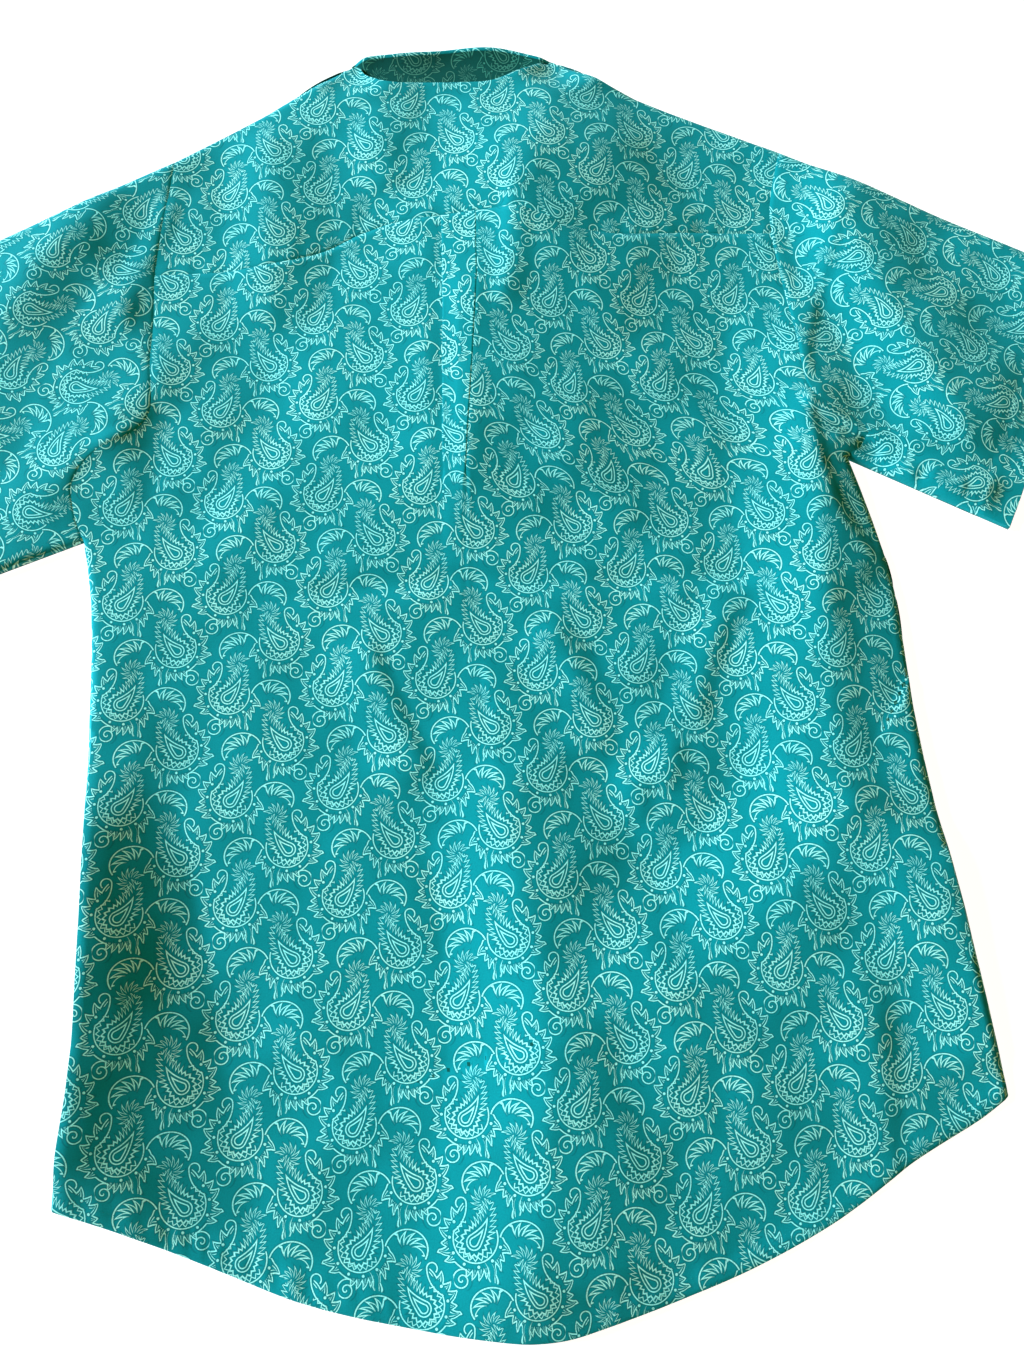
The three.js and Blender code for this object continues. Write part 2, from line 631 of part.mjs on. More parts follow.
// ---------------------------------------------------------------- collar
// The far half of the stand lies open beyond the back neck edge.
function collarStand() {
  const [west, east] = [FAR_RIM[0][0] + 4, FAR_RIM.at(-1)[0] - 4];
  const ease = (x) => 3.5 * smooth(NECKLINE_HALF - 22, NECKLINE_HALF - 6, Math.abs(x - CENTRE_X));
  const bottom = (x) => Math.min(frontTopY(x) + SEAM_GAP + ease(x), heightAt(FAR_RIM, x) - 2);
  const columns = shares(20, 1).map((u) => mix(west, east, u));
  const rows = [0, 0.5, 1];
  const plan = rows.map((v) => columns.map((x) => [x, mix(bottom(x), heightAt(FAR_RIM, x), v)]));
  return flatWall(plan, () => LAYER);
}

// The near half is turned down inside, under the yoke, and the leaf lies on it.
function tuckedBand(depth, underside, halfWidth) {
  const columns = shares(14, 1).map((u) => mix(CENTRE_X - halfWidth, CENTRE_X + halfWidth, u));
  const rows = [0, 0.5, 1];
  const plan = rows.map((v) => columns.map((x) => [x, NECKLINE_Y - depth * (1 - v)]));
  return flatWall(plan, () => underside);
}

// One front half of the leaf, from the rolled rim to its point, on the table.
function collarWing(side) {
  const columns = shares(8, 1);
  const x = (offset) => CENTRE_X + side * offset;
  const grid = WING_ROWS.map((row) => columns.map((u) => [
    x(mix(row.inner, row.outer, u)),
    row.y + row.rise * u,
  ]));
  const rimX = (u) => x(mix(WING_RIM.inner, WING_RIM.outer, u));
  grid.push(columns.map((u) => [rimX(u), heightAt(FAR_RIM, rimX(u)) - WING_RIM.drop]));
  return flatWall(side > 0 ? grid : grid.map((row) => row.toReversed()), () => 0);
}

// ---------------------------------------------------------------- assembly
addPiece('back_body', backBody(), shirting);
addPiece('back_yoke', backYoke(), shirting);
addPiece('left_front', leftFront(), shirting);
addPiece('right_front', rightFront(), shirting);
addPiece('front_placket', frontPlacket(), shirting);
addPiece('left_sleeve', sleeve(leftArmhole, SLEEVE_HEMS.left, 1), shirting);
addPiece('right_sleeve', sleeve(rightArmhole, SLEEVE_HEMS.right, -1), shirting);
addPiece('collar_stand', collarStand(), shirting);
addPiece('collar_stand_back', tuckedBand(STAND_HEIGHT, 2 * LAYER, 60), shirting);
addPiece('collar_leaf_back', tuckedBand(LEAF_HEIGHT, 3 * LAYER, 62), shirting);
addPiece('collar_leaf_left', collarWing(-1), shirting);
addPiece('collar_leaf_right', collarWing(1), shirting);
snapRows().forEach((y, i) => {
  addPiece(`snap_${i + 1}`, snapGeometry().translate(CENTRE_X, y, 0), pearlSnap);
});

export default shirt;
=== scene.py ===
"""A short-sleeved western shirt lying flat on its front, its back upwards.

Lengths in the tables are millimetres, with +X the wearer's right sleeve, +Y the collar and
+Z up from the table. Meshes are made in metres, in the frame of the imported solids.
"""
from functools import partial
from math import atan2, cos, hypot, pi, radians, sin, sqrt

import bpy
import mathutils
import numpy as np
from mathutils.bvhtree import BVHTree
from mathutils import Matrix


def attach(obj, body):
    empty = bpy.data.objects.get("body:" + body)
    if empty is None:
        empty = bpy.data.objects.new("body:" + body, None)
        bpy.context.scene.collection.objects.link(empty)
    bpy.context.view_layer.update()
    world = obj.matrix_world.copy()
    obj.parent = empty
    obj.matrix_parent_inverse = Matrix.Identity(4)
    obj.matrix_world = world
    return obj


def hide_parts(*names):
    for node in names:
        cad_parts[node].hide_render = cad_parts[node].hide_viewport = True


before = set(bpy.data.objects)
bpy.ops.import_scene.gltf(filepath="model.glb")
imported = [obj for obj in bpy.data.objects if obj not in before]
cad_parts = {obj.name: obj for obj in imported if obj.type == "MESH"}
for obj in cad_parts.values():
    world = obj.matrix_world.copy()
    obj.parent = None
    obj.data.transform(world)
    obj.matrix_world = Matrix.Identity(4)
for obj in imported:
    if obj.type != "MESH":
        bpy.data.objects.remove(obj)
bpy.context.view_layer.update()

# ---------------- sizes, as in the solids
LAYER = 1.5   # a layer of cloth and the gap to the next
SEAM_GAP = 0.3
CENTRE_X = -14.0
EDGE_TOP = 3.0   # the upper layer's height along the outline
FIELD_TOP = 4.5   # and away from it
NECK_RISE = 4.6   # over the collar that is tucked under the yoke
OPEN_ROLL = 32.0   # the folds sink over this width towards an open hem
# and finer than in the solids
EDGE_ROLL = 5.0   # the cloth comes down over this width to a folded edge
EDGE_ROUND = 0.7   # it turns down over this width at the edge
EDGE_FOOT = 0.62   # and meets the layer under it at this height
CREST_ROUND = 2.5   # of a fold
SHELL = 0.5   # the shown cloth is thinner than its solid
THIN = 0.2   # and thinner again where it is folded on itself
STEP = 3.5   # spacing of a shell's points

# Left and right edge of the body, from the hem's corners up to the shoulder points.
STATIONS = [
    ((-298, -339), (271, -333)), ((-293, -304), (268, -290)), ((-285, -250), (263, -220)),
    ((-282, -180), (256, -155)), ((-280, -110), (253, -90)), ((-278, -40), (254, -10)),
    ((-278, 20), (247, 42)), ((-283, 62), (237, 88)), ((-289, 84), (248, 97)), ((-289, 106), (252, 108)),
    ((-274, 124), (240, 120)), ((-252, 135), (224, 129)), ((-238, 152), (214, 144)),
    ((-238, 188), (213, 180)), ((-236, 222), (210, 224)), ((-235, 256), (207, 266)),
    ((-230, 287), (210, 290)), ((-224, 318), (216, 313)), ((-219, 348), (223, 335)),
]
UNDERARM, YOKE_CORNER = 7, 15   # rows where the armhole and the yoke start
TAIL = [
    (-298, -339), (-263, -354), (-218, -376), (-164, -402), (-109, -420), (-62, -431),
    (-20, -437), (22, -431), (93, -414), (154, -392), (205, -365), (248, -346), (271, -333),
]
YOKE_SEAM = [
    (-235, 256), (-174, 256), (-125, 264), (-87, 281), (-55, 288), (14, 290),
    (34, 285), (60, 273), (94, 267), (151, 268), (207, 266),
]
YOKE_TOP = [
    (-219, 348), (-157, 382), (-91, 422), (-77, 416), (-60, 409), (-44, 406), (6, 404), (22, 407),
    (38, 414), (51, 421), (65, 420), (96, 402), (121, 385), (149, 371), (182, 355), (223, 335),
]
FAR_RIM = [
    (-91, 423), (-78, 431), (-56, 433), (-27, 434), (0, 436), (20, 435), (40, 430), (65, 421),
]
SLEEVE_HEMS = {"left": ((-442, 242), (-385, 28)), "right": ((442, 217), (342, 29))}

# The main folds, as in the solids: points of the crest, rise, and how far its west and east sides
# run down, each at the line's start and at its end.
FOLDS = [
    # body
    ([(-24, -96), (-17, -170), (-8, -230), (-7, -290), (-17, -360), (-34, -430), (-52, -500), (-66, -560)],
     9, (45, 80), (60, 150)),
    ([(22, -268), (65, -258), (105, -240), (140, -210), (170, -182), (200, -150), (214, -128)],
     7.5, (64, 64), (150, 150)),
    ([(216, 196), (212, 130), (210, 69), (206, 20), (200, -33), (195, -82), (197, -150)],
     5.5, (50, 62), (34, 60)),
    ([(56, 402), (43, 335), (29, 272), (4, 215), (-10, 160), (-16, 100), (-20, 30)],
     10.5, (82, 155), (150, 165)),
    ([(-280, -66), (-283, -150), (-288, -230), (-295, -300), (-304, -370), (-312, -440)],
     13, (9, 9), (44, 139)),
    ([(-288, -170), (-294, -250), (-301, -320), (-308, -390)], 5, (9, 9), (53, 73)),
    ([(-150, 378), (-152, 330), (-155, 262), (-150, 200)], 3.4, (32, 32), (44, 40)),
    ([(-72, 388), (-70, 345), (-62, 312)], 2, (24, 24), (38, 34)),
    ([(-205, 20), (-165, 80), (-130, 150), (-112, 205)], 1.8, (34, 34), (44, 44)),
    ([(193, -258), (190, -320), (182, -386)], 1.4, (26, 26), (14, 14)),
    ([(250, -150), (256, -220), (262, -290), (266, -322)], 3, (50, 50), (11, 11)),
    # right sleeve
    ([(248, 328), (262, 289), (271, 240), (288, 194), (305, 148), (320, 108), (337, 66)],
     8, (44, 46), (95, 70)),
    ([(262, 84), (300, 66), (345, 54)], 3, (16, 16), (14, 14)),
    # left sleeve
    ([(-248, 328), (-282, 301), (-310, 272), (-330, 238), (-345, 200)], 5, (34, 34), (40, 40)),
    ([(-214, 198), (-250, 160), (-284, 126), (-306, 96), (-322, 70)], 2.6, (34, 34), (28, 32)),
]
# Smaller creases, in the same columns.
CREASES = [
    ([(-107, -8), (-96, -48), (-80, -88), (-66, -120)], 1.7, (28, 28), (9, 9)),
    ([(6, -12), (28, -40), (38, -75), (38, -118)], 2.0, (30, 30), (16, 16)),
    ([(152, 6), (130, -25), (113, -60), (102, -98)], 1.7, (20, 20), (12, 12)),
    ([(90, -96), (78, -134)], 1.3, (20, 20), (12, 12)),
    ([(64, -116), (60, -152)], 1.2, (18, 18), (11, 11)),
    ([(-200, 14), (-110, 15), (-40, 19), (30, 11), (120, 9), (200, 8)], -1.2, (8, 8), (9, 9)),
    ([(-262, 252), (-254, 216), (-250, 184)], 0.9, (26, 26), (14, 14)),
    ([(-266, 142), (-255, 116), (-262, 82)], 1.8, (26, 26), (20, 20)),
    ([(262, 292), (252, 264), (240, 233), (228, 204), (218, 175), (212, 146)], 1.1, (18, 24), (5, 5)),
    ([(213, 160), (211, 119), (214, 86), (220, 54), (230, 33), (240, 17), (252, 6)], 1.6, (20, 26), (4, 4)),
    ([(206, 136), (214, 129), (232, 119), (248, 109), (263, 99), (282, 93), (304, 90)],
     2.2, (4, 4), (24, 24)),
    ([(224, 104), (236, 98), (248, 99)], 0.9, (4, 4), (6, 6)),
    ([(258, 92), (268, 78), (284, 68)], 1.0, (6, 6), (8, 8)),
    ([(286, 72), (302, 62), (316, 58)], 0.9, (6, 6), (8, 8)),
    ([(-218, 326), (-230, 292), (-243, 268), (-252, 238), (-262, 206)], 0.9, (9, 12), (9, 9)),
    ([(-235, 256), (-237, 210), (-238, 174), (-233, 154), (-226, 130)], -0.3, (4, 4), (5, 5)),
    ([(-234, 172), (-244, 146), (-261, 134), (-278, 124), (-294, 108), (-290, 88)], 0.7, (20, 20), (5, 5)),
    ([(-33, 306), (-33, 240), (-37, 170), (-40, 110), (-44, 50)], -0.9, (10, 12), (7, 9)),
    ([(24, 330), (19, 280), (14, 240), (2, 205)], 1.2, (9, 9), (14, 14)),
    ([(-10, 250), (-16, 190), (-24, 130), (-32, 60)], 0.7, (18, 18), (12, 12)),
    ([(208, 90), (204, 10), (199, -40), (196, -90), (198, -140), (203, -190)], 1.4, (70, 70), (20, 26)),
]


# ---------------- lines
def smooth(low, high, value):
    t = np.clip((value - low) / (high - low), 0.0, 1.0)
    return t * t * (3 - 2 * t)


def mix(a, b, t):
    return a + (b - a) * t


def bell(distance, width):
    return np.exp(-(distance / width) ** 2)


def run_of(line):
    """Length along a line up to each of its points."""
    return np.concatenate([[0], np.cumsum(np.hypot(*np.diff(line, axis=0).T))])


def rounded(points):
    """The same line with its corners rounded, as a dense table that passes through every point."""
    points = np.array(points, float)
    ends = np.vstack([2 * points[0] - points[1], points, 2 * points[-1] - points[-2]])
    rows = []
    for i in range(1, len(ends) - 2):
        p0, p1, p2, p3 = ends[i - 1:i + 3]
        for t in np.arange(0, 1, 0.1):
            a = 2 * p1 + (p2 - p0) * t
            b = (2 * p0 - 5 * p1 + 4 * p2 - p3) * t * t
            c = (3 * p1 - p0 - 3 * p2 + p3) * t ** 3
            rows.append((a + b + c) / 2)
    rows.append(ends[-2])
    return np.array(rows)


def point_at(line, share):
    """Points of a line at shares 0 to 1 of its rows."""
    line = np.array(line, float)
    rows = np.linspace(0, 1, len(line))
    return np.interp(share, rows, line[:, 0]), np.interp(share, rows, line[:, 1])


def height_at(table, x):
    return np.interp(x, table[:, 0], table[:, 1])


def from_west_to_east(table):
    """Gives the table's points at shares 0 to 1 of its width."""
    def point(share):
        x = mix(table[0, 0], table[-1, 0], share)
        return x, height_at(table, x)
    return point


def nearest(line, x, y):
    """Distance from (x, y) to a line, its side (+1 is left of the line's run) and the share along it."""
    best = np.full(np.shape(x), 1e9)
    side = np.ones(np.shape(x))
    share = np.zeros(np.shape(x))
    for i, ((ax, ay), (bx, by)) in enumerate(zip(line, line[1:])):
        dx, dy = bx - ax, by - ay
        t = np.clip(((x - ax) * dx + (y - ay) * dy) / (dx * dx + dy * dy), 0, 1)
        ox, oy = x - ax - dx * t, y - ay - dy * t
        distance = np.hypot(ox, oy)
        closer = distance < best
        best = np.where(closer, distance, best)
        side = np.where(closer, np.where(dx * oy - dy * ox >= 0, 1.0, -1.0), side)
        share = np.where(closer, (i + t) / (len(line) - 1), share)
    return best, side, share


def stretches(side):
    """The lines of the body's side, the armhole and the yoke's end. side is 0 for left and 1 for right."""
    line = [row[side] for row in STATIONS]
    return (rounded(line[:UNDERARM + 1]), rounded(line[UNDERARM:YOKE_CORNER + 1]),
            rounded(line[YOKE_CORNER:]))


left_side, left_arm, left_end = stretches(0)
right_side, right_arm, right_end = stretches(1)
tail, yoke_seam, yoke_top, far_rim = map(rounded, (TAIL, YOKE_SEAM, YOKE_TOP, FAR_RIM))

FOLDED_EDGES = [
    left_side[::5],
    right_side[::5],
    [p for p in YOKE_TOP if p[0] <= -91],
    [p for p in YOKE_TOP if p[0] >= 65],
    [STATIONS[UNDERARM][0], SLEEVE_HEMS["left"][1]],
    [YOKE_TOP[0], SLEEVE_HEMS["left"][0]],
    [STATIONS[UNDERARM][1], SLEEVE_HEMS["right"][1]],
    [YOKE_TOP[-1], SLEEVE_HEMS["right"][0]],
]
NECK_EDGE = [p for p in YOKE_TOP if -91 <= p[0] <= 65]
OPEN_EDGES = [TAIL, SLEEVE_HEMS["left"], SLEEVE_HEMS["right"]]


def distance_to(edges, x, y):
    best = np.full(np.shape(x), 1e9)
    for edge in edges:
        best = np.minimum(best, nearest(edge, x, y)[0])
    return best


def fold_height(fold, x, y, left_at_ends=0.3):
    """A ridge that runs nearly straight down from a rounded crest to its feet, and is lower at its ends."""
    line, rise, west, east = fold
    distance, side, share = nearest(line, x, y)
    downward = line[-1][1] < line[0][1]
    on_east = (side > 0) == downward
    width = np.where(on_east, mix(east[0], east[1], share), mix(west[0], west[1], share))
    run = np.hypot(distance, CREST_ROUND) - CREST_ROUND
    t = np.clip(1 - run / width, 0, 1)
    fall = mix(t, t * t * (3 - 2 * t), 0.45)
    fade = smooth(0, 0.2, share) * smooth(1, 0.8, share)
    return rise * fall * mix(left_at_ends, 1, fade)


WAVE_SIZES = [  # length, height, how many
    (150, 0.9, 7), (78, 0.55, 9), (42, 0.28, 10), (21, 0.09, 10),
]
UNEVENNESS = 0.75
rng = np.random.default_rng(7)
WAVES = []
for length, height, count in WAVE_SIZES:
    for _ in range(count):
        turn = rng.uniform(0, pi)
        pitch = length * rng.uniform(0.75, 1.3)
        WAVES.append((cos(turn) / pitch, sin(turn) / pitch, rng.uniform(0, 2 * pi), height / sqrt(count)))


def unevenness(x, y):
    """Low rolling of the cloth, the same on every run."""
    total = np.zeros(np.shape(x))
    for kx, ky, start, height in WAVES:
        total += height * np.sin(2 * pi * (kx * x + ky * y) + start)
    return total


def cloth_top(x, y):
    """Upper face of the upper layer over (x, y)."""
    folds = sum(fold_height(fold, x, y) for fold in FOLDS)
    fine = unevenness(x, y) * UNEVENNESS + sum(fold_height(crease, x, y, 0.0) for crease in CREASES)
    edge = distance_to(FOLDED_EDGES, x, y)
    inside = 1 - (1 - np.clip(edge / EDGE_ROLL, 0, 1)) ** 3
    opened = mix(0.55, 1, smooth(0, OPEN_ROLL, distance_to(OPEN_EDGES, x, y)))
    over_collar = smooth(160, 66, np.abs(x - CENTRE_X)) * smooth(262, 346, y)
    field = FIELD_TOP - EDGE_TOP + np.maximum(folds, 0) * opened + fine
    top = EDGE_TOP + inside * (field + NECK_RISE * over_collar)
    roll = np.clip(edge / EDGE_ROUND, 0, 1)
    return mix(EDGE_FOOT, top, np.sqrt(1 - (1 - roll) ** 2))


# ---------------- meshes
SHARP = 38   # degrees; a cut edge or a pressed fold isn't shaded as if it were round


def add_object(name, data):
    thing = bpy.data.objects.new(name, data)
    bpy.context.scene.collection.objects.link(thing)
    return thing


def add_mesh(name, points, faces, uv, materials, face_material=None):
    """A mesh object from points in mm, with the cloth's own coordinates in its UV map."""
    mesh = bpy.data.meshes.new(name)
    mesh.vertices.add(len(points))
    mesh.vertices.foreach_set("co", (np.asarray(points, float) / 1000).ravel())
    faces = np.asarray(faces)
    mesh.loops.add(faces.size)
    mesh.loops.foreach_set("vertex_index", faces.ravel())
    mesh.polygons.add(len(faces))
    mesh.polygons.foreach_set("loop_start", np.arange(0, faces.size, faces.shape[1]))
    mesh.polygons.foreach_set("loop_total", np.full(len(faces), faces.shape[1]))
    mesh.update(calc_edges=True)
    mesh.polygons.foreach_set("use_smooth", np.ones(len(faces), bool))
    layer = mesh.uv_layers.new(name="print")
    layer.data.foreach_set("uv", np.asarray(uv, float)[faces.ravel()].ravel())
    for material in materials:
        mesh.materials.append(material)
    if face_material is not None:
        mesh.polygons.foreach_set("material_index", face_material)
    mesh.update()
    mesh.set_sharp_from_angle(angle=radians(SHARP))
    return add_object(name, mesh)


def shell(name, upper, lower, uv, materials, closed=False):
    """A thin closed wall between two grids of points with the same rows and columns. closed joins its
    columns round into a tube."""
    rows, columns = upper.shape[:2]
    points = np.concatenate([upper.reshape(-1, 3), lower.reshape(-1, 3)])
    ids = np.arange(rows * columns).reshape(rows, columns)
    if closed:
        ids = np.hstack([ids, ids[:, :1]])
    below = ids + rows * columns
    a, b, c, d = ids[:-1, :-1], ids[:-1, 1:], ids[1:, 1:], ids[1:, :-1]
    outer = np.stack([a, b, c, d], -1).reshape(-1, 4)
    inner = outer[:, ::-1] + rows * columns
    edges = [(below[0], ids[0]), (ids[-1], below[-1])]
    if not closed:
        edges += [(ids[:, 0], below[:, 0]), (below[:, -1], ids[:, -1])]
    rims = np.concatenate([np.stack([p[:-1], p[1:], q[1:], q[:-1]], -1) for p, q in edges])
    faces = np.concatenate([outer, inner, rims])
    wrong_side = np.repeat([0, 1, 0], [len(outer), len(inner), len(rims)])
    uv = np.concatenate([uv.reshape(-1, 2)] * 2)
    return add_mesh(name, points, faces, uv, materials, wrong_side)


def under(grid, thickness=SHELL):
    """The grid moved inwards along its own normals."""
    du = np.gradient(grid, axis=1)
    dv = np.gradient(grid, axis=0)
    normal = np.cross(du, dv)
    size = np.linalg.norm(normal, axis=-1, keepdims=True)
    normal = np.where(size > 1e-9, normal / np.maximum(size, 1e-9), (0.0, 0.0, 1.0))
    return grid - normal * thickness


def between(left, right, bottom, top, u, v):
    """Plan points between four edges. left and right take v, bottom and top take u."""
    lx, ly = left(v)
    rx, ry = right(v)
    bx, by = bottom(u)
    tx, ty = top(u)
    l0, r0, l1, r1 = left(0.0), right(0.0), left(1.0), right(1.0)
    out = []
    for k, (lo, ro, bo, to) in enumerate(((lx, rx, bx, tx), (ly, ry, by, ty))):
        corners = mix(mix(l0[k], r0[k], u), mix(l1[k], r1[k], u), v)
        out.append(mix(lo, ro, u) + mix(bo, to, v) - corners)
    return out


# ---------------- print
REPEAT = 66.0   # mm, both ways; two motifs, the second a mirror image half a repeat up
MIRROR_SHIFT = 33.0   # of the second motif, sideways
CELL_WEST = -27.0   # a motif's cell starts this far west of its body's centre
CELL_EAST = CELL_WEST + REPEAT
CURVE_TOP = 32.0   # the y of a table in a curve node runs from 0 to this
LINE = 0.36   # half width of a printed outline
INK_EDGE = 0.16   # half width of its soft edge
FINE = 0.12   # how much narrower, each side, the details inside a motif are
AHEAD = 1.4   # degrees between the two readings that give an outline's slope


class Nodes:
    """Adds nodes to a tree, each made from the ones before it. Inputs are numbers or sockets."""

    def __init__(self, tree):
        self.tree = tree

    def put(self, socket, value):
        if isinstance(value, bpy.types.NodeSocket):
            self.tree.links.new(value, socket)
        else:
            socket.default_value = value

    def add(self, kind, *values, **settings):
        """A node of this kind, with values for its first inputs."""
        node = self.tree.nodes.new(kind)
        for key, value in settings.items():
            setattr(node, key, value)
        for socket, value in zip(node.inputs, values):
            self.put(socket, value)
        return node

    def fill(self, node, values):
        """The node, with values for the inputs of these names."""
        for name, value in values.items():
            self.put(node.inputs[name], value)
        return node

    def math(self, kind, *values):
        return self.add("ShaderNodeMath", *values, operation=kind).outputs[0]

    def line(self, value, slope, start):
        return self.math("MULTIPLY_ADD", value, slope, start)

    def times(self, a, b):
        return self.math("MULTIPLY", a, b)

    def minus(self, a, b):
        return self.math("SUBTRACT", a, b)

    def gap(self, a, b):
        return self.math("ABSOLUTE", self.minus(a, b))

    def most(self, a, b):
        return self.math("MAXIMUM", a, b)

    def least(self, first, *others):
        for value in others:
            first = self.math("MINIMUM", first, value)
        return first

    def vector(self, kind, *values):
        node = self.add("ShaderNodeVectorMath", *values, operation=kind)
        return node.outputs["Value" if kind in ("DOT_PRODUCT", "LENGTH") else "Vector"]

    def scaled(self, value, amount):
        node = self.add("ShaderNodeVectorMath", value, operation="SCALE")
        return self.fill(node, {"Scale": amount}).outputs["Vector"]

    def combine(self, x, y):
        return self.add("ShaderNodeCombineXYZ", x, y).outputs[0]

    def split(self, value):
        return self.add("ShaderNodeSeparateXYZ", value).outputs[:2]

    def ramp(self, value, low, high, start=0.0, end=1.0):
        """start at low, end at high, with a smooth step between."""
        settings = {"interpolation_type": "SMOOTHSTEP"}
        return self.add("ShaderNodeMapRange", value, low, high, start, end, **settings).outputs[0]

    def blend(self, share, a, b):
        """The colour a where share is 0 and b where it is 1."""
        node = self.add("ShaderNodeMix", share, data_type="VECTOR")
        self.put(node.inputs[4], a)
        self.put(node.inputs[5], b)
        return node.outputs[1]

    def noise(self, place, scale, detail):
        node = self.add("ShaderNodeTexNoise", noise_dimensions="2D")
        return self.fill(node, {"Vector": place, "Scale": scale, "Detail": detail}).outputs[0]

    def curve(self, value, points, low, high):
        """A table of (x, y) points, straight from point to point, with x from low to high."""
        node = self.add("ShaderNodeFloatCurve")
        line = node.mapping.curves[0]
        spots = [((x - low) / (high - low), y / CURVE_TOP) for x, y in points]
        line.points[0].location = spots[0]
        line.points[1].location = spots[-1]
        for spot in spots[1:-1]:
            line.points.new(*spot)
        for point in line.points:
            point.handle_type = "VECTOR"
        node.mapping.update()
        return self.times(self.fill(node, {"Value": value}).outputs[0], CURVE_TOP)

    # ---- distances, in mm, in the plane of a motif
    def arc(self, p, centre, radius, middle, half):
        """Distance to a circle's arc, from the direction of its middle and half its angle, in degrees."""
        off = self.vector("SUBTRACT", p, (*centre, 0.0))
        length = self.vector("LENGTH", off)
        along = self.vector("DOT_PRODUCT", off, (cos(radians(middle)), sin(radians(middle)), 0.0))
        beyond = self.line(length, cos(radians(half)), self.times(along, -1.0))
        return self.most(self.gap(length, radius), beyond)

    def polar(self, p, centre, seam):
        """Distance and direction from a centre. Direction runs from -180 to 180 degrees, and 0 is
        opposite the seam."""
        off = self.vector("SUBTRACT", p, (*centre, 0.0))
        turn = radians(180.0 - seam)
        across = self.vector("DOT_PRODUCT", off, (cos(turn), -sin(turn), 0.0))
        up = self.vector("DOT_PRODUCT", off, (sin(turn), cos(turn), 0.0))
        length = self.vector("LENGTH", off)
        return length, self.times(self.math("ARCTAN2", up, across), 180.0 / pi)

    def between(self, value, low, high, scale=1.0):
        """Under 0 inside low to high and rising outside it, at scale per unit."""
        off = self.gap(value, (low + high) / 2)
        return self.times(self.minus(off, (high - low) / 2), scale)

    def zigzag(self, along, pitch):
        """0 to 1 and back along every pitch."""
        return self.times(self.math("PINGPONG", along, pitch / 2), 2 / pitch)

    def outline(self, reach, angle, table, middle):
        """Distance outwards from a line given by (direction, reach) rows. middle is the direction
        where angle is 0."""
        spots = [(direction - middle, far) for direction, far in table]
        here, ahead = (self.curve(self.line(angle, 1 / 360, 0.5 + step / 360), spots, -180, 180)
                       for step in (0, AHEAD))
        steep = self.math("DIVIDE", self.minus(ahead, here), self.times(reach, radians(AHEAD)))
        steep = self.math("INVERSE_SQRT", self.line(steep, steep, 1.0))
        return self.times(self.minus(reach, here), steep)


# Boundary between a motif's cell and the mirrored one above it, (across, up) from the body's centre.
CELL_TOP = [
    (-27.0, 6.2), (-20.6, 6.2), (-19.2, 10.5), (-18.6, 18.6), (-14.5, 20.5), (-10.5, 25.4),
    (-6.6, 25.0), (-5.6, 22.6), (-4.6, 21.4), (-3.6, 20.5), (-2.9, 22.5), (-2.2, 24.8), (-1.2, 27.0),
    (0.5, 28.9), (5.0, 29.8), (9.0, 29.0), (10.6, 24.5), (13.5, 23.0), (14.6, 18.6), (17.0, 13.5),
    (18.6, 7.0), (21.5, 8.4), (25.0, 10.2), (31.0, 9.6), (36.0, 7.0), (37.6, 6.2), (39.0, 6.2),
]
# Leaves round the body: (direction in degrees from the right, distance from its centre), tip and
# hollow by turns.
LEAVES = [
    (108, 19.6), (124, 16.6), (130, 21.2), (141, 16.2), (150, 20.6), (157, 16.6), (167, 21.6),
    (178, 16.8), (186, 20.0), (191, 17.2), (200, 23.2), (208, 17.4), (215, 21.4), (222, 17.0),
    (248, 17.2), (254, 20.6), (259, 16.6), (265, 21.6), (270, 16.6), (276, 22.0), (282, 16.8),
    (287, 21.6), (290.5, 17.4), (293, 29.0), (297, 28.0), (302.5, 24.0), (304.5, 18.0), (309, 17.2),
    (312, 22.4), (318, 17.4), (323, 20.0), (330, 17.0), (340, 21.6), (349, 17.0), (357, 15.6),
]
# Inner edge of the plume: (direction, distance from the plume's centre).
PLUME = [
    (-116, 10.9), (-27, 10.9), (-14, 8.2), (2, 9.6), (11, 4.8), (29, 9.5), (39, 4.2), (57, 9.5),
    (67, 4.0), (85, 9.5), (96, 4.4), (113, 9.6), (122, 5.4), (138, 9.4), (152, 10.9), (244, 10.9),
]
# Plain arcs, as centre, radius, direction of the middle and half angle: the body's outline, the vine
# that leaves it and the vine's hook.
ARCS = [((0, 0), 12.8, -94, 108), ((-20.4, 18.6), 16.4, -29, 30), ((-7.0, 18.9), 3.0, 108, 112)]
DROP_SLOPE = 0.29   # of the nested drops' flanks
DROP_BEND = -1.1   # degrees that their shared axis bends for each mm
DROP_SIZES = (2.3, 4.1)
NECK_REACH = 23.0   # of the drops' points, from their centre
LEAF_SPACING = 2.8   # on the outermost drop
PETAL_SPACING = 27.0   # degrees
ZIGZAG_SPACING = 17.0   # degrees
DOT_SPACING = 32.8   # degrees
DOT_RING = 14.9   # the dots' distance from the body's centre
DOT_SIZE = 0.45
BODY_MIDDLE = 240   # direction opposite the body's seam
VEIN_INSET = 1.5   # of a leaf's second line
SPIRAL_PITCH = 3.1
PLUME_CENTRE = (26.6, -3.6)
PLUME_RADIUS = 10.9
PLUME_MIDDLE = 64


